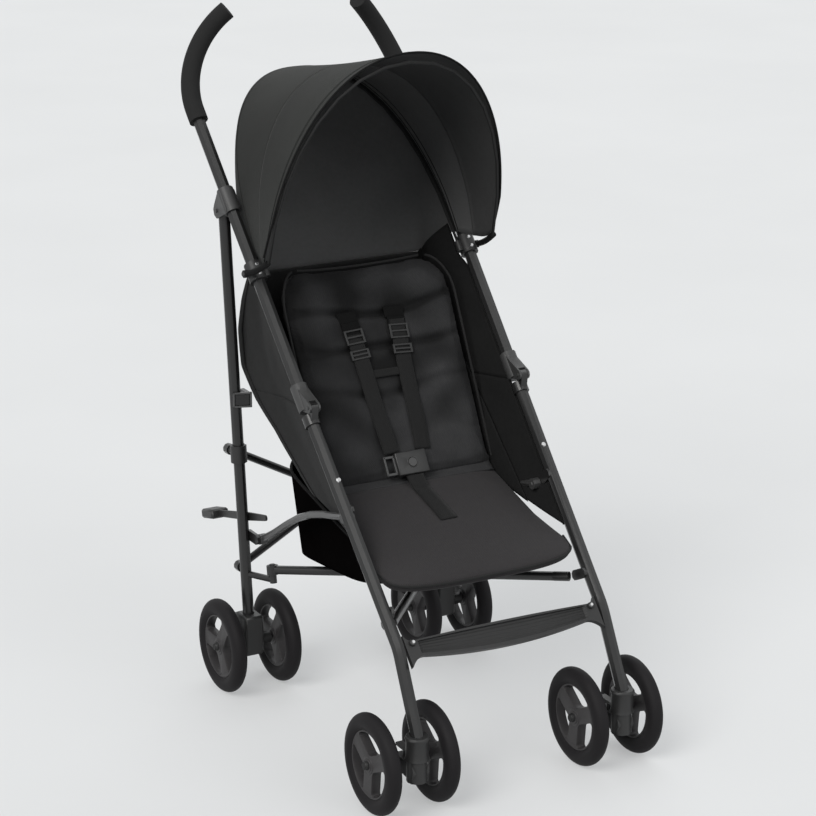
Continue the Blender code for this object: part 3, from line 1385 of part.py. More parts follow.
def cover_back(u, v):
    t = arch_angle(1 - u)
    top = rear_arch(t)
    low = Vector((top.x * CANOPY_BACK_HALF_WIDTH / rear_cover_half(), CANOPY_BACK_Y + FRONT_AXLE_Y,
                  SLING_REAR_LINE[-1][1] + SOFT_GAP))
    return top.lerp(low, v)


def build_canopy():
    def point(u, v):
        split = CANOPY_BACK_ROWS / (CANOPY_BACK_ROWS + CANOPY_TOP_ROWS)
        if v < split:
            return cover_back(u, 1 - v / split)
        return cover_top(u, (v - split) / (1 - split))

    grid_solid("canopy", CANOPY_COLUMNS, CANOPY_BACK_ROWS + CANOPY_TOP_ROWS, point, CANOPY_THICKNESS, CLOTH)


def shrunk(point, side_shift, radial, lean, forward, t):
    # Move a point of the cover's middle surface inward to the middle of its bow
    s = max(math.sin(t), 0.0)
    inward = Vector((-math.copysign(side_shift, math.cos(t)) * abs(math.cos(t)) ** 0.5,
                     -radial * math.sin(lean) * s - forward * s, -radial * math.cos(lean) * s))
    return point + inward


def rear_bow_path(side):
    points = []
    for i in range(BOW_STEPS + 1):
        t = math.pi * i / BOW_STEPS
        points.append(shrunk(rear_arch(t), BOW_SHRINK, BOW_SHRINK, REAR_BOW_LEAN, BOW_FORWARD, t))
    down = Vector((0.0, -math.sin(REAR_BOW_LEAN), -math.cos(REAR_BOW_LEAN))) * REAR_BOW_TAIL
    points = [points[0] + down] + points + [points[-1] + down]
    return points if side == LEFT else points[::-1]


def front_bow_eye(side):
    pivot = handle_point(side, CLIP_DISTANCE)
    outer = LEG_TUBE_RADIUS + CLIP_WALL + SIDE_PLAY + BOW_EYE_WIDTH / 2
    return shift_x(pivot, side * outer)


def build_bows():
    rear = tube("rear_bow", rear_bow_path(LEFT), BOW_RADIUS, 1)
    finish(rear, METAL)
    arch = []
    for i in range(BOW_STEPS + 1):
        t = math.pi * i / BOW_STEPS
        arch.append(shrunk(front_arch(t), BOW_SHRINK, BOW_SHRINK * 1.4, FRONT_BOW_LEAN, -BOW_BACK, t))
    tails = []
    eyes = []
    holes = []
    for side, base in ((LEFT, arch[0]), (RIGHT, arch[-1])):
        eye = front_bow_eye(side)
        way = (base - eye).normalized()
        near = eye + way * BOW_EYE_START
        middle = eye.lerp(base, 0.55)
        middle.x = eye.x - side * BOW_RADIUS
        tails.append((near, middle))
        reach = BOW_EYE_WIDTH / 2
        eyes.append(rod("front bow eye" + str(side), shift_x(eye, -reach), shift_x(eye, reach),
                        BOW_EYE_RADIUS, 10))
        holes.append(rod("front bow hole" + str(side), shift_x(eye, -2 * reach), shift_x(eye, 2 * reach),
                         BOW_PIN_RADIUS + PIN_PLAY, 12))
    path = list(tails[0]) + arch + list(tails[1])[::-1]
    bow = tube("front_bow", path, BOW_RADIUS, 1)
    finish(cut(unite(bow, *eyes), *holes), METAL)


# Harness
def strip(name, centre_line, half_width, thickness, material, lift):
    # Band that follows points given with their across and outward directions
    last = len(centre_line) - 1

    def point(u, v):
        position, across, outward = centre_line[round(v * last)]
        return position + across * (2 * u - 1) * half_width + outward * (lift + thickness / 2)

    grid_solid(name, 2, last, point, thickness, material)


def build_harness():
    outward = Vector((0.0, -math.cos(BACK_LEAN), math.sin(BACK_LEAN)))
    for side, word in SIDES:
        line = []
        for i in range(STRAP_STEPS + 1):
            part = i / STRAP_STEPS
            s = STRAP_TOP_S + (STRAP_LOW_S - STRAP_TOP_S) * part
            x = side * (STRAP_SPREAD_TOP + (STRAP_SPREAD_LOW - STRAP_SPREAD_TOP) * part)
            top = max(pad_offset(x + STRAP_HALF_WIDTH, s), pad_offset(x - STRAP_HALF_WIDTH, s),
                      pad_offset(x, s), PAD_CROWN)
            line.append((pad_point(x, s, top), Vector((1.0, 0.0, 0.0)), outward))
        strip("shoulder_strap_" + word, line, STRAP_HALF_WIDTH, STRAP_THICKNESS, WEBBING, STRAP_LIFT)
    turn = Matrix.Rotation(-BACK_LEAN, 4, "X")
    centre = pad_point(0.0, BUCKLE_S, PAD_CROWN + SOFT_GAP + BUCKLE_DEPTH / 2)
    buckle = block("buckle", centre, (BUCKLE_WIDTH, BUCKLE_DEPTH, BUCKLE_HEIGHT), turn)
    bevel = buckle.modifiers.new("edges", "BEVEL")
    bevel.width = BUCKLE_BEVEL
    bevel.segments = 2
    well = rod("buckle well", centre + outward * (BUCKLE_DEPTH / 2 - BUTTON_HEIGHT),
               centre + outward * BUCKLE_DEPTH, BUTTON_RADIUS + SIDE_PLAY, 16)
    finish(cut(buckle, well), PLASTIC)
    seat = centre + outward * (BUCKLE_DEPTH / 2 - BUTTON_HEIGHT + BUTTON_TRAVEL + TOUCH)
    button = rod("buckle_button", seat, seat + outward * (BUTTON_HEIGHT - BUTTON_TRAVEL / 2),
                 BUTTON_RADIUS, 16)
    finish(button, PLASTIC)
    line = []
    normal = Vector((0.0, -math.sin(SEAT_SLOPE), math.cos(SEAT_SLOPE)))
    for i in range(CROTCH_STEPS + 1):
        v = CROTCH_START + (CROTCH_END - CROTCH_START) * i / CROTCH_STEPS
        line.append((seat_top(0.5, v), Vector((1.0, 0.0, 0.0)), normal))
    low = pad_point(0.0, BUCKLE_S - BUCKLE_HEIGHT / 2 - SOFT_GAP, PAD_CROWN + SOFT_GAP + BUCKLE_DEPTH / 2)
    line.append((low - outward * (SOFT_GAP + STRAP_THICKNESS / 2), Vector((1.0, 0.0, 0.0)), outward))
    strip("crotch_strap", line, CROTCH_WIDTH / 2, STRAP_THICKNESS, WEBBING, SOFT_GAP)


def build_all():
    for side, word in SIDES:
        build_handle(side, word)
        build_elbow(side, word)
        build_front_leg(side, word)
        build_bracket(side, word)
        build_clip(side, word)
        build_rear_leg(side, word)
        build_slider(side, word)
        build_rear_bar(side, word)
        build_link(side, word)
        build_brace(side, word)
        build_caster(side, word)
        build_housing(side, word)
        for end, hub, turn in (("front", front_axle_point(side), FRONT_WHEEL_TURN),
                               ("rear", rear_axle_point(side), REAR_WHEEL_TURN)):
            for place_word, sign in (("outer", side), ("inner", -side)):
                centre = shift_x(hub, sign * WHEEL_PAIR_GAP / 2)
                build_wheel("wheel_" + end + "_" + word + "_" + place_word, centre, turn)
    build_lever()
    build_footrest()
    build_seat()
    build_pad()
    build_sling()
    build_basket()
    build_canopy()
    build_bows()
    build_harness()


build_all()
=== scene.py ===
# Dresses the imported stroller: cloth, padding, webbing, foam, moulded and coated pieces.
# Metres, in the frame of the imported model. X points to the child's left, Y to the rear, Z up.
import json
import math

import bmesh
import bpy
import numpy as np
from mathutils import Matrix, Vector, noise


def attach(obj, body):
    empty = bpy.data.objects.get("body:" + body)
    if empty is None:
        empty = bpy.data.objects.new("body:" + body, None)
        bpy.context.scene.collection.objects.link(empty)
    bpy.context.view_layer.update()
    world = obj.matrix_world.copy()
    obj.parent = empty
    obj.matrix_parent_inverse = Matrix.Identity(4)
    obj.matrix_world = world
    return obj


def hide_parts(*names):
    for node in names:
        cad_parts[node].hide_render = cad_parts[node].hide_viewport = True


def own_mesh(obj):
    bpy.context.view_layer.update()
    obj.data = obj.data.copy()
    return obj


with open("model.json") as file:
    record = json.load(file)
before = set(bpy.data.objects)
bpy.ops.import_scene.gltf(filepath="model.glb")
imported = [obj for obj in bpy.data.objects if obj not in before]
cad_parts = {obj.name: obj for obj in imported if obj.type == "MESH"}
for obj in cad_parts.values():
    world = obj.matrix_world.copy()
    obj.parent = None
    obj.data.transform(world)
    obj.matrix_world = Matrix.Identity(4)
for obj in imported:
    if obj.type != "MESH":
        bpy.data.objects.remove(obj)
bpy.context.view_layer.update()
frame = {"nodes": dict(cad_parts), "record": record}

# The front axle lies this far ahead of the origin
AXLE_Y = -0.3057
RIGHT = -1
LEFT = 1
SIDES = ((RIGHT, "right"), (LEFT, "left"))
X_AXIS = Vector((1.0, 0.0, 0.0))


def clamp(value, top=1.0):
    return min(max(value, 0.0), top)


def signed_power(value, power):
    return math.copysign(abs(value) ** power, value)


def lean_way(tilt):
    # Up along a line that leans to the rear by tilt
    return Vector((0.0, math.sin(tilt), math.cos(tilt)))


def lean_out(tilt):
    # Forwards and up, square to that line
    return Vector((0.0, -math.cos(tilt), math.sin(tilt)))


def new_object(name, data):
    item = bpy.data.objects.new(name, data)
    bpy.context.scene.collection.objects.link(item)
    return item


# Shader helpers
def new_group(name, inputs, outputs):
    # Inputs and outputs are given as names under their kind of socket
    group = bpy.data.node_groups.new(name, "ShaderNodeTree")
    for direction, kinds in (("INPUT", inputs), ("OUTPUT", outputs)):
        for kind, sockets in kinds.items():
            for socket in sockets:
                group.interface.new_socket(name=socket, in_out=direction, socket_type="NodeSocket" + kind)
    return group, group.nodes.new("NodeGroupInput").outputs, group.nodes.new("NodeGroupOutput").inputs


def feed(tree, socket, value):
    # Joins a node's output to the socket, or sets the socket to a plain value
    if isinstance(value, bpy.types.NodeSocket):
        tree.links.new(value, socket)
    elif value is not None:
        socket.default_value = value


def add_math(tree, operation, first, second=None, limit=False):
    node = tree.nodes.new("ShaderNodeMath")
    node.operation = operation
    node.use_clamp = limit
    feed(tree, node.inputs[0], first)
    feed(tree, node.inputs[1], second)
    return node.outputs[0]


def multiply(tree, first, second, limit=False):
    return add_math(tree, "MULTIPLY", first, second, limit)


def add_up(tree, first, second, limit=False):
    return add_math(tree, "ADD", first, second, limit)


def add_mix(tree, factor, first, second):
    node = tree.nodes.new("ShaderNodeMix")
    node.data_type = "RGBA"
    for index, value in ((0, factor), (6, first), (7, second)):
        feed(tree, node.inputs[index], value)
    return node.outputs[2]


def add_noise(tree, vector, scale, detail=3.0, rough=0.55):
    node = tree.nodes.new("ShaderNodeTexNoise")
    for socket, value in (("Vector", vector), ("Scale", scale), ("Detail", detail), ("Roughness", rough)):
        feed(tree, node.inputs[socket], value)
    return node.outputs[0]


def make_cloth_group():
    # Plain weave with soft wrinkles and uneven dye, mixed towards near black where the piece's painted
    # shade value is high
    group, enter, leave = new_group(
        "cloth_surface",
        {"Vector": ("Vector", "Place"), "Color": ("Dark", "Light"),
         "Float": ("Threads", "Weave", "Wrinkle", "Wrinkle Scale", "Painted Shade")},
        {"Color": ("Color",), "Float": ("Height",)})
    cut = group.nodes.new("ShaderNodeSeparateXYZ")
    group.links.new(enter["Vector"], cut.inputs[0])
    waves = []
    for axis in (0, 1):
        turns = multiply(group, multiply(group, cut.outputs[axis], enter["Threads"]), math.pi)
        waves.append(add_math(group, "SINE", turns))
    threads = multiply(group, multiply(group, *waves), enter["Weave"])
    wave = add_noise(group, enter["Place"], enter["Wrinkle Scale"], 2.0, 0.5)
    fine = add_noise(group, enter["Place"], 160.0, 3.0, 0.6)
    mottle = add_up(group, multiply(group, wave, 0.55), multiply(group, fine, 0.45))
    tone = add_up(group, mottle, multiply(group, threads, 0.35), True)
    colour = add_mix(group, tone, enter["Dark"], enter["Light"])
    # Painted shade: the colour is mixed towards near black by the piece's painted shade value
    shade = multiply(group, enter["Painted Shade"], 0.9, True)
    group.links.new(add_mix(group, shade, colour, tinted(0.003)), leave["Color"])
    height = add_up(group, multiply(group, wave, enter["Wrinkle"]), multiply(group, threads, 0.03))
    group.links.new(height, leave["Height"])
    return group


def make_grain_group():
    # Fine moulded or sprayed grain, lighter on rubbed edges
    group, enter, leave = new_group(
        "grain_surface",
        {"Vector": ("Place",), "Color": ("Dark", "Light"), "Float": ("Grain", "Rub", "Smooth", "Rough")},
        {"Color": ("Color",), "Float": ("Roughness", "Height")})
    grain = add_noise(group, enter["Place"], enter["Grain"], 2.0, 0.6)
    cloud = add_noise(group, enter["Place"], 30.0)
    form = group.nodes.new("ShaderNodeNewGeometry")
    edge = add_math(group, "SUBTRACT", form.outputs["Pointiness"], 0.52)
    edge = multiply(group, multiply(group, edge, 14.0, True), enter["Rub"])
    tone = add_up(group, multiply(group, add_up(group, grain, cloud), 0.5), edge, True)
    group.links.new(add_mix(group, tone, enter["Dark"], enter["Light"]), leave["Color"])
    spread = add_math(group, "SUBTRACT", enter["Rough"], enter["Smooth"])
    rough = add_up(group, enter["Smooth"], multiply(group, spread, cloud))
    group.links.new(rough, leave["Roughness"])
    group.links.new(grain, leave["Height"])
    return group


def tinted(level, tint=(0.0, 0.0, 0.0)):
    # A grey with a little red, green or blue added
    return (level + tint[0], level + tint[1], level + tint[2], 1.0)


CLOTH_GROUP = make_cloth_group()
GRAIN_GROUP = make_grain_group()


def new_material(name, look):
    # look gives plain values for inputs of the shader
    material = bpy.data.materials.new(name)
    material.use_nodes = True
    tree = material.node_tree
    shader = tree.nodes["Principled BSDF"]
    for socket, value in look.items():
        shader.inputs[socket].default_value = value
    return material, tree, shader, tree.nodes.new("ShaderNodeTexCoord")


def start_material(name, look, group, values, depth):
    # A shader fed by one of the two groups, with the group's height as its bump
    material, tree, shader, where = new_material(name, look)
    node = tree.nodes.new("ShaderNodeGroup")
    node.node_tree = group
    for socket, value in values.items():
        node.inputs[socket].default_value = value
    bump = tree.nodes.new("ShaderNodeBump")
    bump.inputs["Distance"].default_value = depth
    bump.inputs["Strength"].default_value = 1.0
    for output, socket in ((where.outputs["Object"], node.inputs["Place"]),
                           (node.outputs["Color"], shader.inputs["Base Color"]),
                           (node.outputs["Height"], bump.inputs["Height"]),
                           (bump.outputs[0], shader.inputs["Normal"])):
        tree.links.new(output, socket)
    return material, tree, shader, where, node


def make_cloth(name, dark, light, tint=(0.0, 0.0, 0.0), threads=700.0, weave=0.5, wrinkle=0.9, scale=10.0,
               sheen=0.03, source="UV", depth=0.008, shine=0.15, uses_painted_shade=False):
    values = {"Dark": tinted(dark, tint), "Light": tinted(light, tint), "Threads": threads, "Weave": weave,
              "Wrinkle": wrinkle, "Wrinkle Scale": scale}
    look = {"Roughness": 0.85, "Sheen Weight": sheen, "Sheen Roughness": 0.5, "Specular IOR Level": shine}
    material, tree, _, where, node = start_material(name, look, CLOTH_GROUP, values, depth)
    tree.links.new(where.outputs[source], node.inputs["Vector"])
    # Painted shade is read from an attribute that the hood and pad pieces carry
    if uses_painted_shade:
        painted_shade = tree.nodes.new("ShaderNodeAttribute")
        painted_shade.attribute_name = "painted_shade"
        tree.links.new(painted_shade.outputs["Fac"], node.inputs["Painted Shade"])
    return material


def make_tape(name, dark, light, threads, sheen, shine, weave=0.5, source="Object", depth=0.0035):
    # Narrow woven cloth that lies flat
    return make_cloth(name, dark, light, threads=threads, weave=weave, wrinkle=0.1, scale=14.0, sheen=sheen,
                      source=source, depth=depth, shine=shine)


def make_hard(name, dark, light, smooth, rough, tint=(0.0, 0.0, 0.0), grain=900.0, rub=0.3, metallic=0.0,
              bump=0.00004, coat=0.0, specular=0.5):
    values = {"Dark": tinted(dark, tint), "Light": tinted(light, tint), "Grain": grain, "Rub": rub,
              "Smooth": smooth, "Rough": rough}
    look = {"Metallic": metallic, "Coat Weight": coat, "Specular IOR Level": specular}
    material, tree, shader, _, node = start_material(name, look, GRAIN_GROUP, values, bump)
    tree.links.new(node.outputs["Roughness"], shader.inputs["Roughness"])
    return material


# Materials
# The hood cloth and the padded cloth are darkened by painted shade stored on their pieces
HOOD_CLOTH = make_cloth("hood cloth", 0.023, 0.044, (0.0, 0.001, -0.001), wrinkle=0.5, scale=9.0,
                        depth=0.005, shine=0.12, uses_painted_shade=True)
HOOD_LINING = make_cloth("hood lining", 0.034, 0.06, wrinkle=0.8, depth=0.006)
BACK_LINING = make_cloth("hood back lining", 0.068, 0.11)
PAD_CLOTH = make_cloth("padded cloth", 0.02, 0.05, (0.0, 0.0, 0.001), wrinkle=1.0, scale=13.0,
                       source="Object", depth=0.01, shine=0.12, uses_painted_shade=True)
SEAT_CLOTH = make_cloth("seat cloth", 0.02, 0.036, (0.002, 0.0, 0.001), wrinkle=0.3, scale=8.0, sheen=0.04,
                        depth=0.005, shine=0.25)
SIDE_CLOTH = make_cloth("side cloth", 0.012, 0.029)
SIDE_LINING = make_cloth("side lining", 0.008, 0.021, sheen=0.0, shine=0.08)
BASKET_CLOTH = make_cloth("basket cloth", 0.0012, 0.004, (0.0004, 0.0, 0.0), scale=14.0, sheen=0.0,
                          shine=0.0)
PIPING = make_tape("piping", 0.008, 0.018, 700.0, 0.05, 0.25)
BINDING = make_tape("binding tape", 0.006, 0.013, 900.0, 0.0, 0.1)
STRAP_TAB = make_tape("strap tab", 0.003, 0.008, 520.0, 0.0, 0.1)
WEBBING = make_tape("webbing", 0.005, 0.013, 520.0, 0.05, 0.25, 0.9, "UV", 0.004)
TUBE_COAT = make_hard("coated tube", 0.017, 0.027, 0.28, 0.4, grain=1400.0, metallic=0.35, bump=0.00002,
                      coat=0.15)
LINK_COAT = make_hard("link coat", 0.06, 0.095, 0.28, 0.42, grain=1400.0, metallic=0.4, coat=0.2)
PLASTIC = make_hard("moulded plastic", 0.01, 0.02, 0.4, 0.56)
PALE_PLASTIC = make_hard("grey plastic", 0.03, 0.05, 0.42, 0.56)
STRAP_PLASTIC = make_hard("strap plastic", 0.008, 0.024, 0.4, 0.55, rub=0.8, specular=0.35)
TREAD = make_hard("ribbed tread", 0.006, 0.012, 0.55, 0.7)
FOAM = make_hard("grip foam", 0.014, 0.023, 0.8, 0.95, grain=2200.0, rub=0.1, bump=0.0002, specular=0.2)
TYRE = make_hard("tyre foam", 0.006, 0.012, 0.6, 0.75, (0.001, 0.0, 0.001), grain=1200.0, rub=0.2,
                 bump=0.00006, specular=0.2)
WHEEL = make_hard("wheel plastic", 0.024, 0.04, 0.45, 0.6, (0.002, 0.0, 0.001), specular=0.35)
RIVET = make_hard("bare metal", 0.55, 0.75, 0.2, 0.35, grain=600.0, metallic=1.0)
BOW_METAL = make_hard("bow spring", 0.008, 0.016, 0.55, 0.7, specular=0.25)


# Shapes
def finish_mesh(name, bm, material, smooth=40.0):
    mesh = bpy.data.meshes.new(name)
    bm.to_mesh(mesh)
    bm.free()
    return add_object(name, mesh, material, smooth)


def add_object(name, mesh, material, smooth):
    item = new_object(name, mesh)
    mesh.materials.append(material)
    smooth_by_angle(item, smooth)
    return item


def smooth_by_angle(item, angle):
    item.data.shade_smooth()
    item.data.set_sharp_from_angle(angle=math.radians(angle))


def mapped_grid(columns, rows, point, size):
    # Operator grid whose corners are carried to point(u, v), with a map in metres
    bm = bmesh.new()
    bmesh.ops.create_grid(bm, x_segments=columns, y_segments=rows, size=0.5)
    u_layer = bm.verts.layers.float.new("u")
    v_layer = bm.verts.layers.float.new("v")
    for vert in bm.verts:
        vert[u_layer] = vert.co.x + 0.5
        vert[v_layer] = vert.co.y + 0.5
        vert.co = point(vert[u_layer], vert[v_layer])
    uv = bm.loops.layers.uv.new("UVMap")
    for face in bm.faces:
        for loop in face.loops:
            loop[uv].uv = (loop.vert[u_layer] * size[0], loop.vert[v_layer] * size[1])
    return bm


def thicken(item, thickness):
    solid = item.modifiers.new("thickness", "SOLIDIFY")
    solid.thickness = thickness
    solid.offset = 0.0
    return solid


def sheet_piece(name, columns, rows, point, size, material, thickness, behind=None):
    # Cloth panel with an optional second material on the face away from its normal
    item = finish_mesh(name, mapped_grid(columns, rows, point, size), material, 70.0)
    solid = thicken(item, thickness)
    solid.use_even_offset = False
    if behind is not None:
        item.data.materials.append(behind)
        solid.material_offset = 1
        solid.material_offset_rim = 0
    return item


def closed_pad(name, columns, rows, upper, lower, size, material):
    # Grid extruded once, with its copy laid on the lower surface
    bm = mapped_grid(columns, rows, upper, size)
    u_layer = bm.verts.layers.float["u"]
    v_layer = bm.verts.layers.float["v"]
    moved = bmesh.ops.extrude_face_region(bm, geom=bm.faces[:])
    for vert in [v for v in moved["geom"] if isinstance(v, bmesh.types.BMVert)]:
        vert.co = lower(vert[u_layer], vert[v_layer])
    bmesh.ops.recalc_face_normals(bm, faces=bm.faces)
    return finish_mesh(name, bm, material, 60.0)


def pipe(name, points, radius, material, cyclic=False, resolution=3):
    # Round tube along the points, turned into a mesh at once
    curve = bpy.data.curves.new(name, "CURVE")
    curve.dimensions = "3D"
    curve.bevel_depth = radius
    curve.bevel_resolution = resolution
    curve.use_fill_caps = True
    spline = curve.splines.new("POLY")
    spline.points.add(len(points) - 1)
    for target, source in zip(spline.points, points):
        target.co = (*source, 1.0)
    spline.use_cyclic_u = cyclic
    line = new_object(name + "_line", curve)
    bpy.context.view_layer.update()
    mesh = bpy.data.meshes.new_from_object(line.evaluated_get(bpy.context.evaluated_depsgraph_get()))
    bpy.data.objects.remove(line, do_unlink=True)
    mesh.materials.clear()
    return add_object(name, mesh, material, 50.0)


def rod(name, start, end, radius, material, segments=24, tip=None, bevel=0.0):
    bm = bmesh.new()
    turn = (end - start).to_track_quat("Z", "Y").to_matrix().to_4x4()
    bmesh.ops.create_cone(bm, cap_ends=True, segments=segments, radius1=radius,
                          radius2=radius if tip is None else tip, depth=(end - start).length,
                          matrix=Matrix.Translation((start + end) / 2) @ turn)
    item = finish_mesh(name, bm, material)
    if bevel:
        soften(item, bevel)
    return item


def soften(item, width, segments=3, angle=35.0):
    bevel = item.modifiers.new("edges", "BEVEL")
    bevel.width = width
    bevel.segments = segments
    bevel.limit_method = "ANGLE"
    bevel.angle_limit = math.radians(angle)
    bevel.harden_normals = True


def round_off(item):
    # One level of subdivision
    smooth = item.modifiers.new("smooth", "SUBSURF")
    smooth.levels = 1
    smooth.render_levels = 1


def body_of(node):
    for body, members in frame["record"]["behaviour"]["bodies"].items():
        if node in members:
            return body


def refine(node, material, width, half_width=None):
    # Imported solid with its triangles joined, flat regions cleared and edges rounded
    bm = bmesh.new()
    bm.from_mesh(frame["nodes"][node].data)
    bmesh.ops.remove_doubles(bm, verts=bm.verts, dist=1e-5)
    bmesh.ops.dissolve_limit(bm, angle_limit=math.radians(1.0), verts=bm.verts, edges=bm.edges)
    item = finish_mesh(node + "_finished", bm, material, 36.0)
    if width:
        soften(item, width, 2, 36.0)
    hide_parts(node)
    if half_width:
        bake(item)
        narrow(item)
    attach(item, body_of(node))


def bake(item):
    # Applies every modifier, so that the mesh is final
    item.data.update()
    bpy.context.view_layer.update()
    graph = bpy.context.evaluated_depsgraph_get()
    shown = item.evaluated_get(graph)
    mesh = bpy.data.meshes.new_from_object(shown, preserve_all_data_layers=True, depsgraph=graph)
    item.modifiers.clear()
    item.data = mesh


def narrow(item):
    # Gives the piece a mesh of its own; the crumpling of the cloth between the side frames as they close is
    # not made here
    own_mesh(item)


def dress(item, body, half_width=None, replaces=()):
    # Final mesh, the imported pieces that it replaces hidden, and the body that carries it
    bake(item)
    if half_width:
        narrow(item)
    if replaces:
        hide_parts(*replaces)
    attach(item, body)


def trim(name, line, radius, material, body, half_width=None, cyclic=False):
    # Round piping or binding on the edge of a cloth
    dress(pipe(name, line, radius, material, cyclic), body, half_width)


def webbing(name, line, reach, thickness, lift, body, half_width=None, replaces=()):
    # Flat strap along points given with their across and outward directions
    last = len(line) - 1

    def point(u, v):
        place, across, out = line[round(v * last)]
        return place + across * (2 * u - 1) * reach + out * (lift + thickness / 2)

    length = sum((a[0] - b[0]).length for a, b in zip(line, line[1:]))
    item = sheet_piece(name, 4, last, point, (2 * reach, length), WEBBING, thickness)
    dress(item, body, half_width, replaces)


# Lines of the side frames, repeated from the solid model
LEG_TILT = math.radians(43.3)
HANDLE_TILT = math.radians(42.9)
LEG_BEND = Vector((0.168, 0.014 + AXLE_Y, 0.231))
LEG_SPLAY = 0.02
HANDLE_SPLAY = 0.017
LEG_LENGTH = 0.3747
WHEEL_RADIUS = 0.0735
FRONT_HUB = Vector((0.1695, AXLE_Y, WHEEL_RADIUS))
REAR_HUB = Vector((0.1715, 0.487 + AXLE_Y, WHEEL_RADIUS))
WHEEL_GAP = 0.093
BACK_LEAN = math.radians(32.0)
SEAT_SLOPE = math.radians(15.5)


def mirrored(point, side):
    return Vector((point.x * side, point.y, point.z))


def leg_point(side, distance):
    way = Vector((LEG_SPLAY, math.sin(LEG_TILT), math.cos(LEG_TILT)))
    return mirrored(LEG_BEND + way * distance, side)


ELBOW = leg_point(LEFT, LEG_LENGTH)


def handle_point(side, distance):
    way = Vector((HANDLE_SPLAY, math.sin(HANDLE_TILT), math.cos(HANDLE_TILT)))
    return mirrored(ELBOW + way * distance, side)


# Camera, light and floor
CAMERA_PLACE = (-1.7831, -2.9133 + AXLE_Y, 1.6352)
CAMERA_YAW = math.radians(29.083)
CAMERA_PITCH = math.radians(17.4735)
CAMERA_ROLL = math.radians(0.267)
PICTURE_PIXELS = 816
FOCAL_PIXELS = 2600.0
SENSOR_WIDTH = 36.0
FLOOR_RADIUS = 14.0


def build_camera():
    camera = bpy.data.cameras.new("camera")
    view = new_object("camera", camera)
    view.location = CAMERA_PLACE
    forward = Vector((math.sin(CAMERA_YAW) * math.cos(CAMERA_PITCH),
                      math.cos(CAMERA_YAW) * math.cos(CAMERA_PITCH), -math.sin(CAMERA_PITCH)))
    turn = forward.to_track_quat("-Z", "Y").to_matrix() @ Matrix.Rotation(CAMERA_ROLL, 3, "Z")
    view.rotation_euler = turn.to_euler()
    camera.sensor_width = SENSOR_WIDTH
    camera.lens = FOCAL_PIXELS / PICTURE_PIXELS * SENSOR_WIDTH
    camera.clip_start = 0.1
    camera.clip_end = 60.0
    bpy.context.scene.camera = view
    bpy.context.scene.view_settings.view_transform = "Standard"


def background_rays(tree):
    # 1 for the rays that see or mirror the background, 0 for those that light the object
    path = tree.nodes.new("ShaderNodeLightPath")
    seen = add_math(tree, "MAXIMUM", path.outputs["Is Camera Ray"], path.outputs["Is Transmission Ray"])
    return add_math(tree, "MAXIMUM", seen, path.outputs["Is Glossy Ray"])


def build_floor():
    bm = bmesh.new()
    bmesh.ops.create_circle(bm, cap_ends=True, segments=96, radius=FLOOR_RADIUS)
    ground, tree, shader, where = new_material("pale floor", {"Roughness": 0.9, "Specular IOR Level": 0.0})
    speck = add_noise(tree, where.outputs["Object"], 1.2)
    tone = add_mix(tree, speck, (0.39, 0.395, 0.397, 1.0), (0.42, 0.425, 0.427, 1.0))
    tree.links.new(tone, shader.inputs["Base Color"])
    tree.links.new(tone, shader.inputs["Emission Color"])
    # Only what looks at the floor sees it paler, so that it throws no more light on the object
    tree.links.new(multiply(tree, background_rays(tree), 0.88), shader.inputs["Emission Strength"])
    finish_mesh("floor", bm, ground)


def build_light():
    world = bpy.data.worlds.new("studio")
    bpy.context.scene.world = world
    world.use_nodes = True
    tree = world.node_tree
    fill = tree.nodes["Background"]
    fill.inputs["Color"].default_value = (0.86, 0.88, 0.9, 1.0)
    fill.inputs["Strength"].default_value = 0.56
    back = tree.nodes.new("ShaderNodeBackground")
    back.inputs["Color"].default_value = (0.76, 0.77, 0.775, 1.0)
    mix = tree.nodes.new("ShaderNodeMixShader")
    for index, output in enumerate((background_rays(tree), fill.outputs[0], back.outputs[0])):
        tree.links.new(output, mix.inputs[index])
    tree.links.new(mix.outputs[0], tree.nodes["World Output"].inputs[0])
    # Wide suns light the whole floor evenly, as a tent of paper would
    for name, place, power, angle, colour in (
            ("key", (-3.0, -1.7, 3.0), 1.8, 34.0, (1.0, 0.99, 0.97)),
            ("front", (1.4, -3.4, 2.2), 0.5, 40.0, (1.0, 1.0, 1.0)),
            ("rear", (1.6, 2.6, 3.0), 0.6, 50.0, (0.97, 0.99, 1.0))):
        lamp = bpy.data.lights.new(name, "SUN")
        lamp.angle = math.radians(angle)
        lamp.energy = power
        lamp.color = colour
        holder = new_object(name, lamp)
        holder.location = place
        holder.rotation_euler = (-Vector(place)).to_track_quat("-Z", "Y").to_euler()


build_camera()
build_floor()
build_light()


# Wheels
RIM_RADIUS = 0.049
TYRE_SHOULDER = 0.056
TYRE_HALF = 0.01175
WEB_WIDTH = 0.015
OPENING_RADIUS = 0.047
OPENING_ROUND = 0.0066
ARM_HALF = 0.0118
HUB_HALF = 0.0098
CAP_REACH = 0.0146
# Hub barrels as half length and radius
HUB_BARRELS = ((HUB_HALF, 0.01), (0.0085, 0.0135))
# Turn at which the photo shows the arms
FRONT_TURN = math.radians(95.0)
REAR_TURN = math.radians(62.0)


def wheel_opening(index, steps=12):
    # Outline of an opening between two arms of the star, in the plane of the wheel
    middle = 2 * math.pi * index / 3
    half = math.pi / 3 - math.asin(ARM_HALF / OPENING_RADIUS)
    points = []
    for i in range(steps + 1):
        a = middle - half + 2 * half * i / steps
        points.append(Vector((0.0, OPENING_RADIUS * math.cos(a), OPENING_RADIUS * math.sin(a))))
    apex = ARM_HALF / math.sin(math.pi / 3)
    points.append(Vector((0.0, apex * math.cos(middle), apex * math.sin(middle))))
    return points


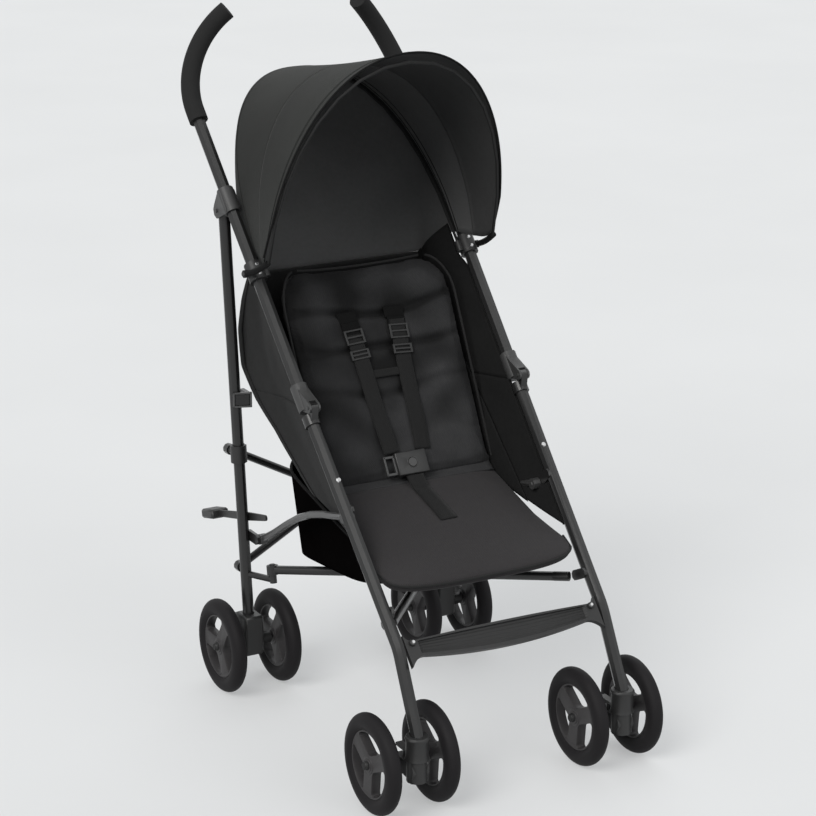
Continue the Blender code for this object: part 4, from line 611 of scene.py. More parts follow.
def make_tyre():
    # Foam ring spun from its section, which grips the rim with three steps a side
    ring = bmesh.new()
    lip = [(RIM_RADIUS, 0.0055), (RIM_RADIUS + 0.0012, 0.0078), (RIM_RADIUS + 0.004, 0.009)]
    profile = list(lip)
    steps = 14
    for i in range(steps + 1):
        a = math.pi / 2 - math.pi * i / steps
        reach = max(math.cos(a), 0.0) ** 0.72
        profile.append((TYRE_SHOULDER + (WHEEL_RADIUS - TYRE_SHOULDER) * reach, TYRE_HALF * math.sin(a)))
    profile += [(r, -x) for r, x in reversed(lip)]
    verts = [ring.verts.new((x, 0.0, r)) for r, x in profile]
    for first, second in zip(verts, verts[1:] + verts[:1]):
        ring.edges.new((first, second))
    bmesh.ops.spin(ring, geom=ring.verts[:] + ring.edges[:], cent=(0, 0, 0), axis=(1, 0, 0),
                   angle=2 * math.pi, steps=72, use_merge=True)
    bmesh.ops.remove_doubles(ring, verts=ring.verts, dist=1e-6)
    bmesh.ops.recalc_face_normals(ring, faces=ring.faces)
    return finish_mesh("tyre_source", ring, TYRE, 50.0)


def make_barrels(name, barrels, segments):
    # Cylinders along the axle, each given by its half length and radius
    bm = bmesh.new()
    for reach, radius in barrels:
        bmesh.ops.create_cone(bm, cap_ends=True, segments=segments, radius1=radius, radius2=radius,
                              depth=2 * reach, matrix=Matrix.Rotation(math.pi / 2, 4, "Y"))
    return finish_mesh(name, bm, WHEEL)


def make_hole_cutter(index):
    hole = bmesh.new()
    face = hole.faces.new([hole.verts.new(p - X_AXIS * 0.02) for p in wheel_opening(index)])
    moved = bmesh.ops.extrude_face_region(hole, geom=[face])
    far = [v for v in moved["geom"] if isinstance(v, bmesh.types.BMVert)]
    bmesh.ops.translate(hole, verts=far, vec=(0.04, 0.0, 0.0))
    edges = [e for e in hole.edges if abs(e.verts[0].co.x - e.verts[1].co.x) > 0.01
             and e.calc_face_angle(0.0) > math.radians(40)]
    bmesh.ops.bevel(hole, geom=edges, offset=OPENING_ROUND, segments=6, profile=0.5, affect="EDGES",
                    material=-1, clamp_overlap=True)
    bmesh.ops.recalc_face_normals(hole, faces=hole.faces)
    return finish_mesh("hole" + str(index), hole, WHEEL)


def make_wheel_mesh():
    # Tyre, web with three openings and hub in one mesh
    tyre = make_tyre()
    web = make_barrels("web_source", ((WEB_WIDTH / 2, RIM_RADIUS + 0.0006),), 72)
    for index in range(3):
        cutter = make_hole_cutter(index)
        cut = web.modifiers.new("hole", "BOOLEAN")
        cut.operation = "DIFFERENCE"
        cut.solver = "EXACT"
        cut.object = cutter
        bake(web)
        bpy.data.objects.remove(cutter, do_unlink=True)
    centre = make_barrels("hub_source", HUB_BARRELS, 40)
    for item, width in ((web, 0.0014), (centre, 0.0012)):
        soften(item, width, 3, 40.0)
        bake(item)
    joined = bmesh.new()
    for slot, item in enumerate((tyre, web, centre)):
        before = len(joined.faces)
        joined.from_mesh(item.data)
        joined.faces.ensure_lookup_table()
        for face in joined.faces[before:]:
            face.material_index = min(slot, 1)
        bpy.data.objects.remove(item, do_unlink=True)
    mesh = bpy.data.meshes.new("wheel")
    joined.to_mesh(mesh)
    joined.free()
    return mesh


def build_wheels():
    source = make_wheel_mesh()
    for side, word in SIDES:
        for end, hub, turn in (("front", FRONT_HUB, FRONT_TURN), ("rear", REAR_HUB, REAR_TURN)):
            for place, sign in (("outer", side), ("inner", -side)):
                name = "wheel_" + end + "_" + word + "_" + place
                mesh = source.copy()
                centre = mirrored(hub, side) + X_AXIS * sign * WHEEL_GAP / 2
                mesh.transform(Matrix.Translation(centre) @ Matrix.Rotation(turn, 4, "X"))
                item = add_object(name + "_finished", mesh, TYRE, 40.0)
                mesh.materials.append(WHEEL)
                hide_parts(name)
                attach(item, name + "_body")
                out = X_AXIS * sign
                cap = rod(name + "_cap", centre + out * HUB_HALF, centre + out * CAP_REACH, 0.007, PLASTIC,
                          28, 0.0056, 0.001)
                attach(cap, name + "_body")
    bpy.data.meshes.remove(source)


build_wheels()


# Grips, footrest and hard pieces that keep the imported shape
GRIP_START = 0.5014
GRIP_BEND_START = 0.52
GRIP_BEND_RADIUS = 0.13
GRIP_BEND_ANGLE = math.radians(76.0)
GRIP_BEND_TOWARDS = Vector((-0.72, -0.49, 0.48))
GRIP_RADIUS = 0.0145


def grip_line(side):
    way = Vector((side * HANDLE_SPLAY, math.sin(HANDLE_TILT), math.cos(HANDLE_TILT))).normalized()
    turn = mirrored(GRIP_BEND_TOWARDS, side)
    normal = (turn - way * turn.dot(way)).normalized()
    base = handle_point(side, GRIP_BEND_START)
    line = [handle_point(side, GRIP_START), handle_point(side, 0.511)]
    steps = 36
    for i in range(steps + 1):
        a = GRIP_BEND_ANGLE * i / steps
        line.append(base + (way * math.sin(a) + normal * (1 - math.cos(a))) * GRIP_BEND_RADIUS)
    line.append(line[-1] + (line[-1] - line[-2]).normalized() * 0.005)
    return line


def build_grip(side, word):
    item = pipe("handle_grip_" + word + "_finished", grip_line(side), GRIP_RADIUS, FOAM, resolution=8)
    bm = bmesh.new()
    bm.from_mesh(item.data)
    bmesh.ops.remove_doubles(bm, verts=bm.verts, dist=1e-5)
    bmesh.ops.recalc_face_normals(bm, faces=bm.faces)
    bm.to_mesh(item.data)
    bm.free()
    soften(item, 0.0022, 4, 50.0)
    dress(item, "handle_" + word, None, ("handle_grip_" + word,))


FOOTREST_LOW = -0.025
FOOTREST_HALF = 0.1582
FOOTREST_WAY = lean_way(LEG_TILT)
FOOTREST_OUT = lean_out(LEG_TILT)
LIP_HEIGHT = 0.0036


def footrest_point(u, v, raised):
    # Lens-shaped tread on gussets that reach down the legs
    across = 2 * u - 1
    a = abs(across)
    top = FOOTREST_LOW + 0.035 - 0.003 * a * a + 0.01 * max(0.0, (a - 0.93) / 0.07) ** 2
    bottom = FOOTREST_LOW - 0.003 + 0.015 * a * a - 0.018 * max(0.0, (a - 0.84) / 0.16) ** 2
    height = bottom + (top - bottom) * v
    x = across * (FOOTREST_HALF + LEG_SPLAY * min(height, 0.0))
    return Vector((x, LEG_BEND.y, LEG_BEND.z)) + FOOTREST_WAY * height + FOOTREST_OUT * raised


def footrest_top(u, v):
    # Fine ribs inside a raised lip
    is_tread = 0.16 < v < 0.9 and abs(2 * u - 1) < 0.87
    ribs = 0.0005 * math.sin(v * 44.0) if is_tread else LIP_HEIGHT
    return footrest_point(u, v, 0.001 + ribs)


def build_footrest():
    item = closed_pad("footrest_finished", 110, 34, footrest_top,
                      lambda u, v: footrest_point(u, v, -0.0035), (0.32, 0.05), PLASTIC)
    item.data.materials.append(TREAD)
    middle = FOOTREST_OUT.dot(Vector((0.0, LEG_BEND.y, LEG_BEND.z)))
    for face in item.data.polygons:
        if FOOTREST_OUT.dot(face.center) - middle < LIP_HEIGHT / 2 and face.normal.dot(FOOTREST_OUT) > 0.5:
            face.material_index = 1
    smooth_by_angle(item, 40.0)
    body = body_of("footrest")
    dress(item, body, FOOTREST_HALF, ("footrest",))
    for side, word in SIDES:
        spot = footrest_point(0.5 + side * 0.465, 0.86, 0.0046)
        cap = spot + FOOTREST_OUT * 0.004
        tip = spot + FOOTREST_OUT * 0.0062
        boss = rod("footrest_boss_" + word, spot, cap, 0.0052, PLASTIC, 24, 0.0044, 0.0006)
        dress(boss, body, FOOTREST_HALF)
        dress(rod("footrest_bolt_" + word, cap, tip, 0.003, RIVET, 20, 0.0022), body, FOOTREST_HALF)


def build_hard_pieces():
    for side, word in SIDES:
        for node, material, width in (
                ("handle_tube_", TUBE_COAT, 0.0), ("front_leg_", TUBE_COAT, 0.0004),
                ("rear_leg_", TUBE_COAT, 0.0004), ("side_link_", LINK_COAT, 0.0004),
                ("seat_brace_", TUBE_COAT, 0.0004), ("rear_cross_bar_", TUBE_COAT, 0.0004),
                ("elbow_", PALE_PLASTIC, 0.0008), ("leg_bracket_", PALE_PLASTIC, 0.001),
                ("canopy_clip_", PLASTIC, 0.0008), ("slider_", PLASTIC, 0.0006),
                ("caster_socket_", PLASTIC, 0.0008), ("caster_fork_", PLASTIC, 0.0008),
                ("swivel_lock_", PALE_PLASTIC, 0.0006), ("rear_housing_", PLASTIC, 0.0008),
                ("brake_pedal_", PALE_PLASTIC, 0.0008), ("front_axle_", BOW_METAL, 0.0003),
                ("rear_axle_", BOW_METAL, 0.0003)):
            refine(node + word, material, width)
        build_grip(side, word)
    refine("lock_lever", PLASTIC, 0.0005)
    refine("buckle", PLASTIC, 0.0008)
    refine("buckle_button", PALE_PLASTIC, 0.0006)
    refine("rear_bow", BOW_METAL, 0.0, 0.165)
    refine("front_bow", BOW_METAL, 0.0, 0.19)
    build_footrest()


build_hard_pieces()


# Hood
REAR_HALF = 0.1686
FRONT_HALF = 0.1925
# Angle over the feet of the bows at which the cloth starts
HOOD_START = 0.03
HOOD_STEPS = 140
HOOD_THICKNESS = 0.0012


def arch_point(t, half_width, base_y, base_z, height, lean, power):
    rise = height * max(math.sin(t), 0.0) ** (2 / power)
    return Vector((half_width * signed_power(math.cos(t), 2 / power),
                   base_y + AXLE_Y + rise * math.sin(lean), base_z + rise * math.cos(lean)))


def rear_arch(t):
    return arch_point(t, REAR_HALF, 0.439, 0.688, 0.325, math.radians(41.0), 2.35)


def front_arch(t):
    return arch_point(t, FRONT_HALF, 0.37, 0.706, 0.306, math.radians(-15.5), 2.15)


def hood_angle(u):
    return math.pi - (HOOD_START + (math.pi - 2 * HOOD_START) * u)


def hood_out(u):
    # Out of the hood, square to its arch
    t = hood_angle(u)
    return Vector((math.cos(t), 0.0, math.sin(t)))


def hood_top(u, v):
    # v runs from the rear bow to the front bow
    t = hood_angle(u)
    point = rear_arch(t).lerp(front_arch(t), v)
    point.z += (0.0085 * v - 0.005 * 4 * v * (1 - v)) * math.sin(t)
    # Low ends hang a little past the bows and round off at the front corner
    low = max(0.0, 1 - min(u, 1 - u) / 0.05)
    point.z -= low * (0.004 + 0.016 * v * (1 - v ** 6))
    point.y += 0.01 * low * v ** 6
    return point


def hood_back(u, v):
    # v runs from the rear bow down to the top of the backrest
    top = hood_top(u, 0.0)
    low = Vector((top.x * 0.15 / REAR_HALF, 0.52 + AXLE_Y, 0.6528))
    point = top.lerp(low, v)
    point.y += 0.03 * math.sin(math.pi * v ** 0.8) * math.sin(hood_angle(u)) ** 0.4
    return point


def hood_rear_point(u, v):
    # Up the back, over the rear bow and half of the way to the front bow
    return hood_back(u, 1 - v / 0.55) if v < 0.55 else hood_top(u, (v - 0.55) / 0.45 * 0.5)


def hood_front_point(u, v):
    # The front half slips under the rear half, where the bow folds
    return hood_top(u, 0.48 + 0.52 * v) - hood_out(u) * 0.0022 * max(0.0, 1 - v / 0.07)


def shade_hood(item):
    # Painted shade: the cloth is darkened higher up the hood, a little less near the crown, in random
    # patches
    painted_shade = item.data.attributes.new("painted_shade", "FLOAT", "POINT")
    for vert in item.data.vertices:
        rise = clamp((vert.co.z - 0.745) / 0.11)
        top = max(vert.co.z - 0.9, 0.0) / 0.08
        cloud = noise.noise(vert.co * 9.0)
        painted_shade.data[vert.index].value = clamp(0.22 * rise - 0.14 * top + 0.22 * cloud, 0.9)


def build_hood():
    rear = sheet_piece("hood_rear", 128, 60, hood_rear_point, (0.75, 0.5), BACK_LINING, HOOD_THICKNESS,
                       HOOD_CLOTH)
    shade_hood(rear)
    dress(rear, "upper", FRONT_HALF, ("canopy",))
    front = sheet_piece("hood_front", 128, 36, hood_front_point, (0.85, 0.2), HOOD_LINING, HOOD_THICKNESS,
                        HOOD_CLOTH)
    shade_hood(front)
    dress(front, "front_bow_body", FRONT_HALF, ())
    # Share of the way to the front bow, lift off the cloth and radius
    for name, share, lift, radius, body in (
            ("hood_binding", 1.0, 0.0, 0.0017, "front_bow_body"),
            ("hood_hem_0", 0.93, 0.0004, 0.0006, "front_bow_body"),
            ("hood_hem_1", 0.945, 0.0004, 0.0006, "front_bow_body"),
            ("hood_rear_tape", 0.02, -0.0016, 0.0024, "upper"),
            ("hood_tape_seam", 0.05, -0.0008, 0.0007, "upper"),
            ("hood_tape_seam_front", 0.1, -0.0008, 0.0007, "upper")):
        places = [i / HOOD_STEPS for i in range(HOOD_STEPS + 1)]
        line = [hood_top(u, share) + hood_out(u) * lift for u in places]
        trim(name, line, radius, BINDING, body, FRONT_HALF)


build_hood()


# Padded back
PAD_HALF = 0.1445
PAD_LENGTH = 0.33
PAD_CORNER = 0.07
PAD_Y = 0.288 + AXLE_Y
PAD_Z = 0.379
PAD_UP = lean_way(BACK_LEAN)
PAD_OUT = lean_out(BACK_LEAN)
# Height up the pad, depth and width of each cross crease
CREASES = ((0.252, 0.01, 0.0065), (0.196, 0.009, 0.0065), (0.128, 0.005, 0.007))
# Distance from the middle and height of each pair of dimples
DIMPLES = ((0.036, 0.252), (0.03, 0.19), (0.03, 0.128))
PIPING_RADIUS = 0.0017


def pad_point(x, s, offset):
    # s runs up the pad, and offset out of it
    y = PAD_Y + s * math.sin(BACK_LEAN) - offset * math.cos(BACK_LEAN)
    z = PAD_Z + s * math.cos(BACK_LEAN) + offset * math.sin(BACK_LEAN)
    return Vector((x, y, z))


def pad_width(s):
    rest = max(0.0, s - (PAD_LENGTH - PAD_CORNER)) / PAD_CORNER
    return PAD_HALF - 0.04 * (1 - math.sqrt(max(0.0, 1 - min(rest, 1.0) ** 2)))


def pad_dish(x, s):
    return 0.03 * min(abs(x) / PAD_HALF, 1.0) ** 2.2 * (s / PAD_LENGTH)


def pad_surface(u, v, offset):
    s = -0.01 + (PAD_LENGTH + 0.012) * v
    x = (2 * u - 1) * (pad_width(s) - 0.0005)
    return pad_point(x, s, pad_dish(x, s) + offset)


def inflate(item, voxel, pressure, cap, frames=20):
    # Cloth swelling of a sewn cover, held within a cap of its start
    start = new_object(item.name + "_cloth", item.data.copy())
    remesh = start.modifiers.new("remesh", "REMESH")
    remesh.mode = "VOXEL"
    remesh.voxel_size = voxel
    bake(start)
    rest = np.array([v.co for v in start.data.vertices])
    settings = start.modifiers.new("cloth", "CLOTH").settings
    settings.use_pressure = True
    settings.uniform_pressure_force = pressure
    settings.effector_weights.gravity = 0.0
    settings.quality = 5
    settings.tension_stiffness = 20.0
    settings.compression_stiffness = 20.0
    settings.bending_stiffness = 0.6
    scene = bpy.context.scene
    for number in range(1, frames + 1):
        scene.frame_set(number)
    graph = bpy.context.evaluated_depsgraph_get()
    moved = np.array([v.co for v in start.evaluated_get(graph).data.vertices])
    scene.frame_set(1)
    start.modifiers.clear()
    step = moved - rest
    length = np.linalg.norm(step, axis=1, keepdims=True)
    step *= np.minimum(1.0, cap / np.maximum(length, 1e-9))
    start.data.vertices.foreach_set("co", (rest + step).astype(np.float32).ravel())
    start.data.update()
    start.data.shade_smooth()
    item.data = start.data
    bpy.data.objects.remove(start, do_unlink=True)


def pad_sunk(x, s):
    # Depth of the creases and dimples
    sunk = 0.0
    for height, depth, width in CREASES:
        bend = height + 0.004 * math.sin(30 * x + height * 40) + 0.012 * (x / PAD_HALF) ** 2
        share = 0.75 + 0.35 * noise.noise(Vector((x * 18, height, 5)))
        sunk += depth * math.exp(-((s - bend) / width) ** 2) * share
    for place, height in DIMPLES:
        for middle in (-place, place):
            sunk += 0.004 * math.exp(-((x - middle) ** 2 + (s - height) ** 2) / 0.014 ** 2)
    return sunk


def crease_pad(item):
    # Presses creases and ripples into the front, and stores painted shade for each point: darker in the
    # creases and dimples, up the pad, towards its right side, at its side edges and top, and lighter on the
    # raised ripples as painted light
    origin = pad_point(0.0, 0.0, 0.0)
    painted_shade = item.data.attributes.new("painted_shade", "FLOAT", "POINT")
    for vert in item.data.vertices:
        away = vert.co - origin
        s = away.dot(PAD_UP)
        x = vert.co.x
        if away.dot(PAD_OUT) < pad_dish(x, s) - 0.006:
            continue
        sunk = pad_sunk(x, s)
        broad = noise.noise(Vector((x * 17, s * 21, 3.1)))
        ripple = broad * 0.0034 + noise.noise(Vector((x * 48, s * 40, 9.1))) * 0.001
        # Painted shade at the side edges and the top, and rising up the pad and towards its right side
        painted_edge_shade = 0.25 * max(0.0, (abs(x) / PAD_HALF - 0.8) / 0.2) + 0.3 * max(0.0, (s - 0.29) / 0.04)
        rise = clamp((s - 0.03) / 0.11)
        painted_rise_shade = 0.06 + 0.46 * rise * rise * (3 - 2 * rise) - 0.24 * x / PAD_HALF
        painted_shade.data[vert.index].value = clamp(sunk * 75 - broad * 0.85 + painted_rise_shade + painted_edge_shade, 0.92)
        vert.co += PAD_OUT * (ripple - sunk) * (1 - min(abs(x) / PAD_HALF, 1.0) ** 5)


def build_back_pad():
    item = closed_pad("back_cushion", 40, 46,
                      lambda u, v: pad_surface(u, v, 0.003 * (1 - abs(2 * u - 1) ** 6)),
                      lambda u, v: pad_surface(u, v, -0.015), (0.29, 0.33), PAD_CLOTH)
    inflate(item, 0.0055, 4.0, 0.0065)
    round_off(item)
    bake(item)
    crease_pad(item)
    dress(item, "backrest", PAD_HALF, ("back_pad",))
    for side, word in SIDES:
        line = []
        for i in range(61):
            s = 0.006 + (PAD_LENGTH - 0.008) * i / 60
            x = side * (pad_width(s) - 0.0004)
            line.append(pad_point(x, s, pad_dish(x, s) + 0.0005))
        trim("pad_piping_" + word, line, PIPING_RADIUS, PIPING, "backrest", PAD_HALF)
    top = []
    for i in range(61):
        x = (2 * i / 60 - 1) * (pad_width(PAD_LENGTH) - 0.0005)
        top.append(pad_point(x, PAD_LENGTH - 0.0005, pad_dish(x, PAD_LENGTH) + 0.0005))
    trim("pad_piping_top", top, PIPING_RADIUS, PIPING, "backrest", PAD_HALF)


build_back_pad()


# Padded seat
SEAT_HALF = 0.149
SEAT_LENGTH = 0.252
SEAT_Y = 0.048 + AXLE_Y
SEAT_Z = 0.306
SEAT_NORMAL = Vector((0.0, -math.sin(SEAT_SLOPE), math.cos(SEAT_SLOPE)))


def seat_crown(u, v):
    return 0.006 * (1 - (2 * u - 1) ** 4) * (1 - (2 * v - 1) ** 4)


def seat_edge(u, v):
    # 0 on the cushion, and 1 at its rim
    return 1 - (1 - abs(2 * u - 1) ** 10) * (1 - abs(2 * v - 1) ** 14)


def seat_top(u, v):
    # v runs from the front edge, which draws back at its corners, to the rear
    across = 2 * u - 1
    start = 0.056 * (1 - (1 - abs(across) ** 3.6) ** (1 / 3.6)) * (1 - v)
    distance = start + (SEAT_LENGTH - start) * v
    half = 0.144 + 0.012 * max(0.0, 1 - v / 0.4)
    crown = seat_crown(u, v)
    y = SEAT_Y + distance * math.cos(SEAT_SLOPE) - crown * math.sin(SEAT_SLOPE)
    z = SEAT_Z + distance * math.sin(SEAT_SLOPE) + crown * math.cos(SEAT_SLOPE)
    return Vector((across * half, y, z))


def seat_upper(u, v):
    return seat_top(u, v) - SEAT_NORMAL * 0.006 * seat_edge(u, v)


def seat_lower(u, v):
    return seat_top(u, v) - SEAT_NORMAL * (0.022 + seat_crown(u, v) - 0.005 * seat_edge(u, v))


def seat_join(u, v):
    # Strip of cloth from the rear of the seat to the foot of the pad
    low = seat_top(0.02 + 0.96 * u, 0.93) - SEAT_NORMAL * 0.001
    high = pad_point((2 * u - 1) * (PAD_HALF - 0.004), 0.006, -0.004)
    point = low.lerp(high, v)
    point.y += 0.004 * math.sin(math.pi * v)
    return point


def build_seat():
    item = closed_pad("seat_cushion", 64, 48, seat_upper, seat_lower, (0.29, 0.25), SEAT_CLOTH)
    round_off(item)
    dress(item, "lower", SEAT_HALF, ("seat_base",))
    strip = sheet_piece("seat_join", 40, 10, seat_join, (0.28, 0.03), PAD_CLOTH, 0.002)
    dress(strip, "lower", SEAT_HALF, ())
    line = [seat_top(i / 80, 0.0) - SEAT_NORMAL * 0.008 for i in range(81)]
    trim("seat_front_piping", line, 0.002, PIPING, "lower", SEAT_HALF)


build_seat()


# Backrest cloth and side wings
REAR_LINE = ((0.313, 0.364), (0.34, 0.396), (0.384, 0.433), (0.44, 0.465),
             (0.492, 0.505), (0.514, 0.56), (0.519, 0.61), (0.52, 0.652))
WING_X = 0.1468
WING_FRONT_LOW = 0.326
WING_FRONT_HIGH = 0.704
WING_SLACK = 0.003
WING_SPLIT = (ELBOW.z - WING_FRONT_LOW) / (WING_FRONT_HIGH - WING_FRONT_LOW)


def rear_line(v):
    # Depth and height of the backrest cloth
    levels = len(REAR_LINE) - 1
    step = min(int(v * levels + 1e-6), levels - 1)
    part = v * levels - step
    y0, z0 = REAR_LINE[step]
    y1, z1 = REAR_LINE[step + 1]
    belly = 0.043 * math.sin(math.pi * clamp(v) ** 0.85)
    return y0 + (y1 - y0) * part + AXLE_Y + belly, z0 + (z1 - z0) * part


def tube_line(z):
    # Middle of the left front leg or handle tube at height z, as x and y
    start, tilt, splay = (ELBOW, HANDLE_TILT, HANDLE_SPLAY)
    if z < ELBOW.z:
        start, tilt, splay = (LEG_BEND, LEG_TILT, LEG_SPLAY)
    rise = z - start.z
    return start.x + rise / math.cos(tilt) * splay, start.y + rise * math.tan(tilt)


def rear_half(v):
    # The cloth is drawn out towards the rear legs halfway up
    return WING_X + 0.009 * math.sin(math.pi * clamp(v))


def wing_point(side, share, v, slack=0.0):
    # From the rear line of the backrest to the inner side of the front tube
    rear_y, rear_z = rear_line(v)
    front_z = WING_FRONT_LOW + (WING_FRONT_HIGH - WING_FRONT_LOW) * v
    tube_x, tube_y = tube_line(front_z)
    front_y = tube_y + 0.012
    front_x = tube_x - 0.006 - 0.0085 * clamp((front_z - 0.648) / 0.016)
    wave = math.sin(math.pi * share) * math.sin(math.pi * clamp(v))
    rear_x = rear_half(v)
    x = rear_x + (WING_X - rear_x) * min(share / 0.4, 1.0)
    x += (front_x - WING_X) * max(0.0, (share - 0.35) / 0.65) ** 1.5 + slack * wave
    x += 0.0016 * noise.noise(Vector((share * 5, v * 7, side * 2.0))) * wave
    return Vector((side * x, rear_y + (front_y - rear_y) * share, rear_z + (front_z - rear_z) * share))


def flap_reach(v):
    # The flap narrows upwards, so that no corner stands out when the back reclines
    return 0.62 - 0.5 * max(0.0, (v - 0.5) / 0.5) ** 1.3


def panel_point(u, v):
    across = 2 * u - 1
    y, z = rear_line(v)
    y += 0.008 * math.sin(math.pi * v) * (1 - across ** 4)
    return Vector((across * (rear_half(v) - 0.0016), y, z))


def build_wing(side, name, low, high, body):
    # Cloth, strap and edge of the part of a wing that is laced to one tube
    faces = (SIDE_CLOTH, SIDE_LINING) if side == RIGHT else (SIDE_LINING, SIDE_CLOTH)
    wing = sheet_piece("side_wing_" + name, 36, 36,
                       lambda u, v: wing_point(side, u, low + (high - low) * v, WING_SLACK), (0.25, 0.17),
                       faces[0], 0.0016, faces[1])
    dress(wing, body, None, ())
    levels = [low + (high - low) * i / 40 for i in range(41)]
    edge = []
    for v in levels:
        into = (wing_point(side, 0.06, v, WING_SLACK) - wing_point(side, 0.0, v, WING_SLACK)).normalized()
        edge.append((wing_point(side, 0.028, v, WING_SLACK), into, X_AXIS * side))
    webbing("wing_strap_" + name, edge, 0.0065, 0.0016, 0.0008, body)
    line = [wing_point(side, 1.0, v, WING_SLACK) for v in levels]
    trim("wing_binding_" + name, line, 0.0017, BINDING, body)


def build_back_cloth():
    item = sheet_piece("back_panel", 60, 60, panel_point, (0.29, 0.4), SIDE_CLOTH, 0.002)
    dress(item, "backrest", WING_X, ("backrest_fabric",))
    for side, word in SIDES:
        flap = sheet_piece("side_flap_" + word, 24, 48,
                           lambda u, v: wing_point(side, flap_reach(v) * u, v) - X_AXIS * side * 0.003,
                           (0.2, 0.35), SIDE_LINING, 0.0012)
        dress(flap, "backrest", WING_X, ())
        # The wing is laced to both tubes, so it parts at the elbow
        for part, low, high, body, tube in (
                ("low_", 0.0, WING_SPLIT, "front_", "front_leg_"),
                ("high_", WING_SPLIT, 1.0, "handle_", "handle_tube_")):
            build_wing(side, part + word, low, high, body + word)


build_back_cloth()


# Basket
BASKET_HALF = 0.138
BASKET_FRONT = 0.165
BASKET_REAR = 0.455
# Heights at the front and at the rear
BASKET_RIM = (0.3152, 0.378)
BASKET_FLOOR = (0.257, 0.229)
BASKET_STEPS = 120


def basket_point(u, v):
    # v runs down the wall in its first half, and in over the floor in its second
    angle = 2 * math.pi * u
    depth = min(v * 2, 1.0)
    taper = 0.014 * depth
    half_y = (BASKET_REAR - BASKET_FRONT) / 2 - taper
    shrink = min(1.0, 2 * (1 - v))
    x = (BASKET_HALF - taper) * signed_power(math.cos(angle), 0.4) * shrink
    dy = half_y * signed_power(math.sin(angle), 0.4) * shrink
    rim = BASKET_RIM[0] + (BASKET_RIM[1] - BASKET_RIM[0]) * (dy / half_y + 1) / 2
    floor = BASKET_FLOOR[0] + (BASKET_FLOOR[1] - BASKET_FLOOR[0]) * (dy / half_y + 1) / 2
    sag = 0.003 * (1 - depth) * math.sin(3 * angle) ** 2
    return Vector((x, (BASKET_FRONT + BASKET_REAR) / 2 + dy + AXLE_Y, rim + (floor - rim) * depth - sag))


def build_basket():
    bm = mapped_grid(BASKET_STEPS, 40, lambda u, v: basket_point(u, 0.98 * v), (0.8, 0.4))
    bmesh.ops.remove_doubles(bm, verts=bm.verts, dist=1e-5)
    ends = [e for e in bm.edges if e.is_boundary and e.verts[0].co.z < 0.26]
    bmesh.ops.holes_fill(bm, edges=ends, sides=0)
    bmesh.ops.recalc_face_normals(bm, faces=bm.faces)
    item = finish_mesh("basket_bag", bm, BASKET_CLOTH, 70.0)
    thicken(item, 0.002)
    dress(item, "basket_body", BASKET_HALF, ("basket",))
    rim = [basket_point(i / BASKET_STEPS, 0.0) for i in range(BASKET_STEPS)]
    trim("basket_binding", rim, 0.0022, BINDING, "basket_body", BASKET_HALF, True)


build_basket()


# Harness
# Distance from the middle and height up the pad at the two ends of a shoulder strap
STRAP_TOP = (0.039, 0.235)
STRAP_FOOT = (0.027, 0.037)
ADJUSTER_WIDTH = 0.032


def moulding(name, turn, bars, material, bevel):
    # Small piece made of bevelled bars, each given by its centre and size
    bm = bmesh.new()
    for centre, size in bars:
        matrix = Matrix.Translation(centre) @ turn.to_4x4() @ Matrix.Diagonal((*size, 1.0))
        bmesh.ops.create_cube(bm, size=1.0, matrix=matrix)
    item = finish_mesh(name, bm, material)
    soften(item, bevel, 2)
    return item


def pair(middle, step, size):
    # Two equal bars on either side of the middle
    return [(middle - step, size), (middle + step, size)]


def pad_turn(across, along):
    return Matrix((across, PAD_OUT, along)).transposed()


def strap_axes(side):
    # Across and along directions of a shoulder strap on the pad
    top = pad_point(side * STRAP_TOP[0], STRAP_TOP[1], 0.0)
    along = (top - pad_point(side * STRAP_FOOT[0], STRAP_FOOT[1], 0.0)).normalized()
    return along.cross(PAD_OUT).normalized(), along


def strap_middle(side, s, lift):
    part = (STRAP_TOP[1] - s) / (STRAP_TOP[1] - STRAP_FOOT[1])
    return pad_point(side * (STRAP_TOP[0] + (STRAP_FOOT[0] - STRAP_TOP[0]) * part), s, lift)


def build_adjuster(side, name, s, length):
    across, along = strap_axes(side)
    centre = strap_middle(side, s, 0.0152)
    bars = pair(centre, across * (ADJUSTER_WIDTH / 2 - 0.0018), (0.0036, 0.0034, length))
    for share in (-0.5, 0.0, 0.5):
        bars.append((centre + along * share * (length - 0.003), (ADJUSTER_WIDTH, 0.003, 0.003)))
    item = moulding("strap_adjuster_" + name, pad_turn(across, along), bars, STRAP_PLASTIC, 0.0006)
    dress(item, "backrest", PAD_HALF)


def build_buckle_parts():
    middle = pad_point(0.0, 0.013, 0.0145)
    # Side prong with its square webbing loop
    hub = middle - X_AXIS * 0.035
    bars = pair(hub, PAD_UP * 0.013, (0.018, 0.005, 0.004))
    bars += pair(hub, X_AXIS * 0.0075, (0.0036, 0.005, 0.029))
    loop = moulding("buckle_loop", pad_turn(X_AXIS, PAD_UP), bars, PALE_PLASTIC, 0.0008)
    dress(loop, "lower", None)
    rim = []
    for i in range(40):
        a = 2 * math.pi * i / 40
        rim.append(middle + PAD_OUT * 0.0062 + (X_AXIS * math.cos(a) + PAD_UP * math.sin(a)) * 0.0082)
    dress(pipe("buckle_button_rim", rim, 0.0007, PALE_PLASTIC, cyclic=True), "lower", None)


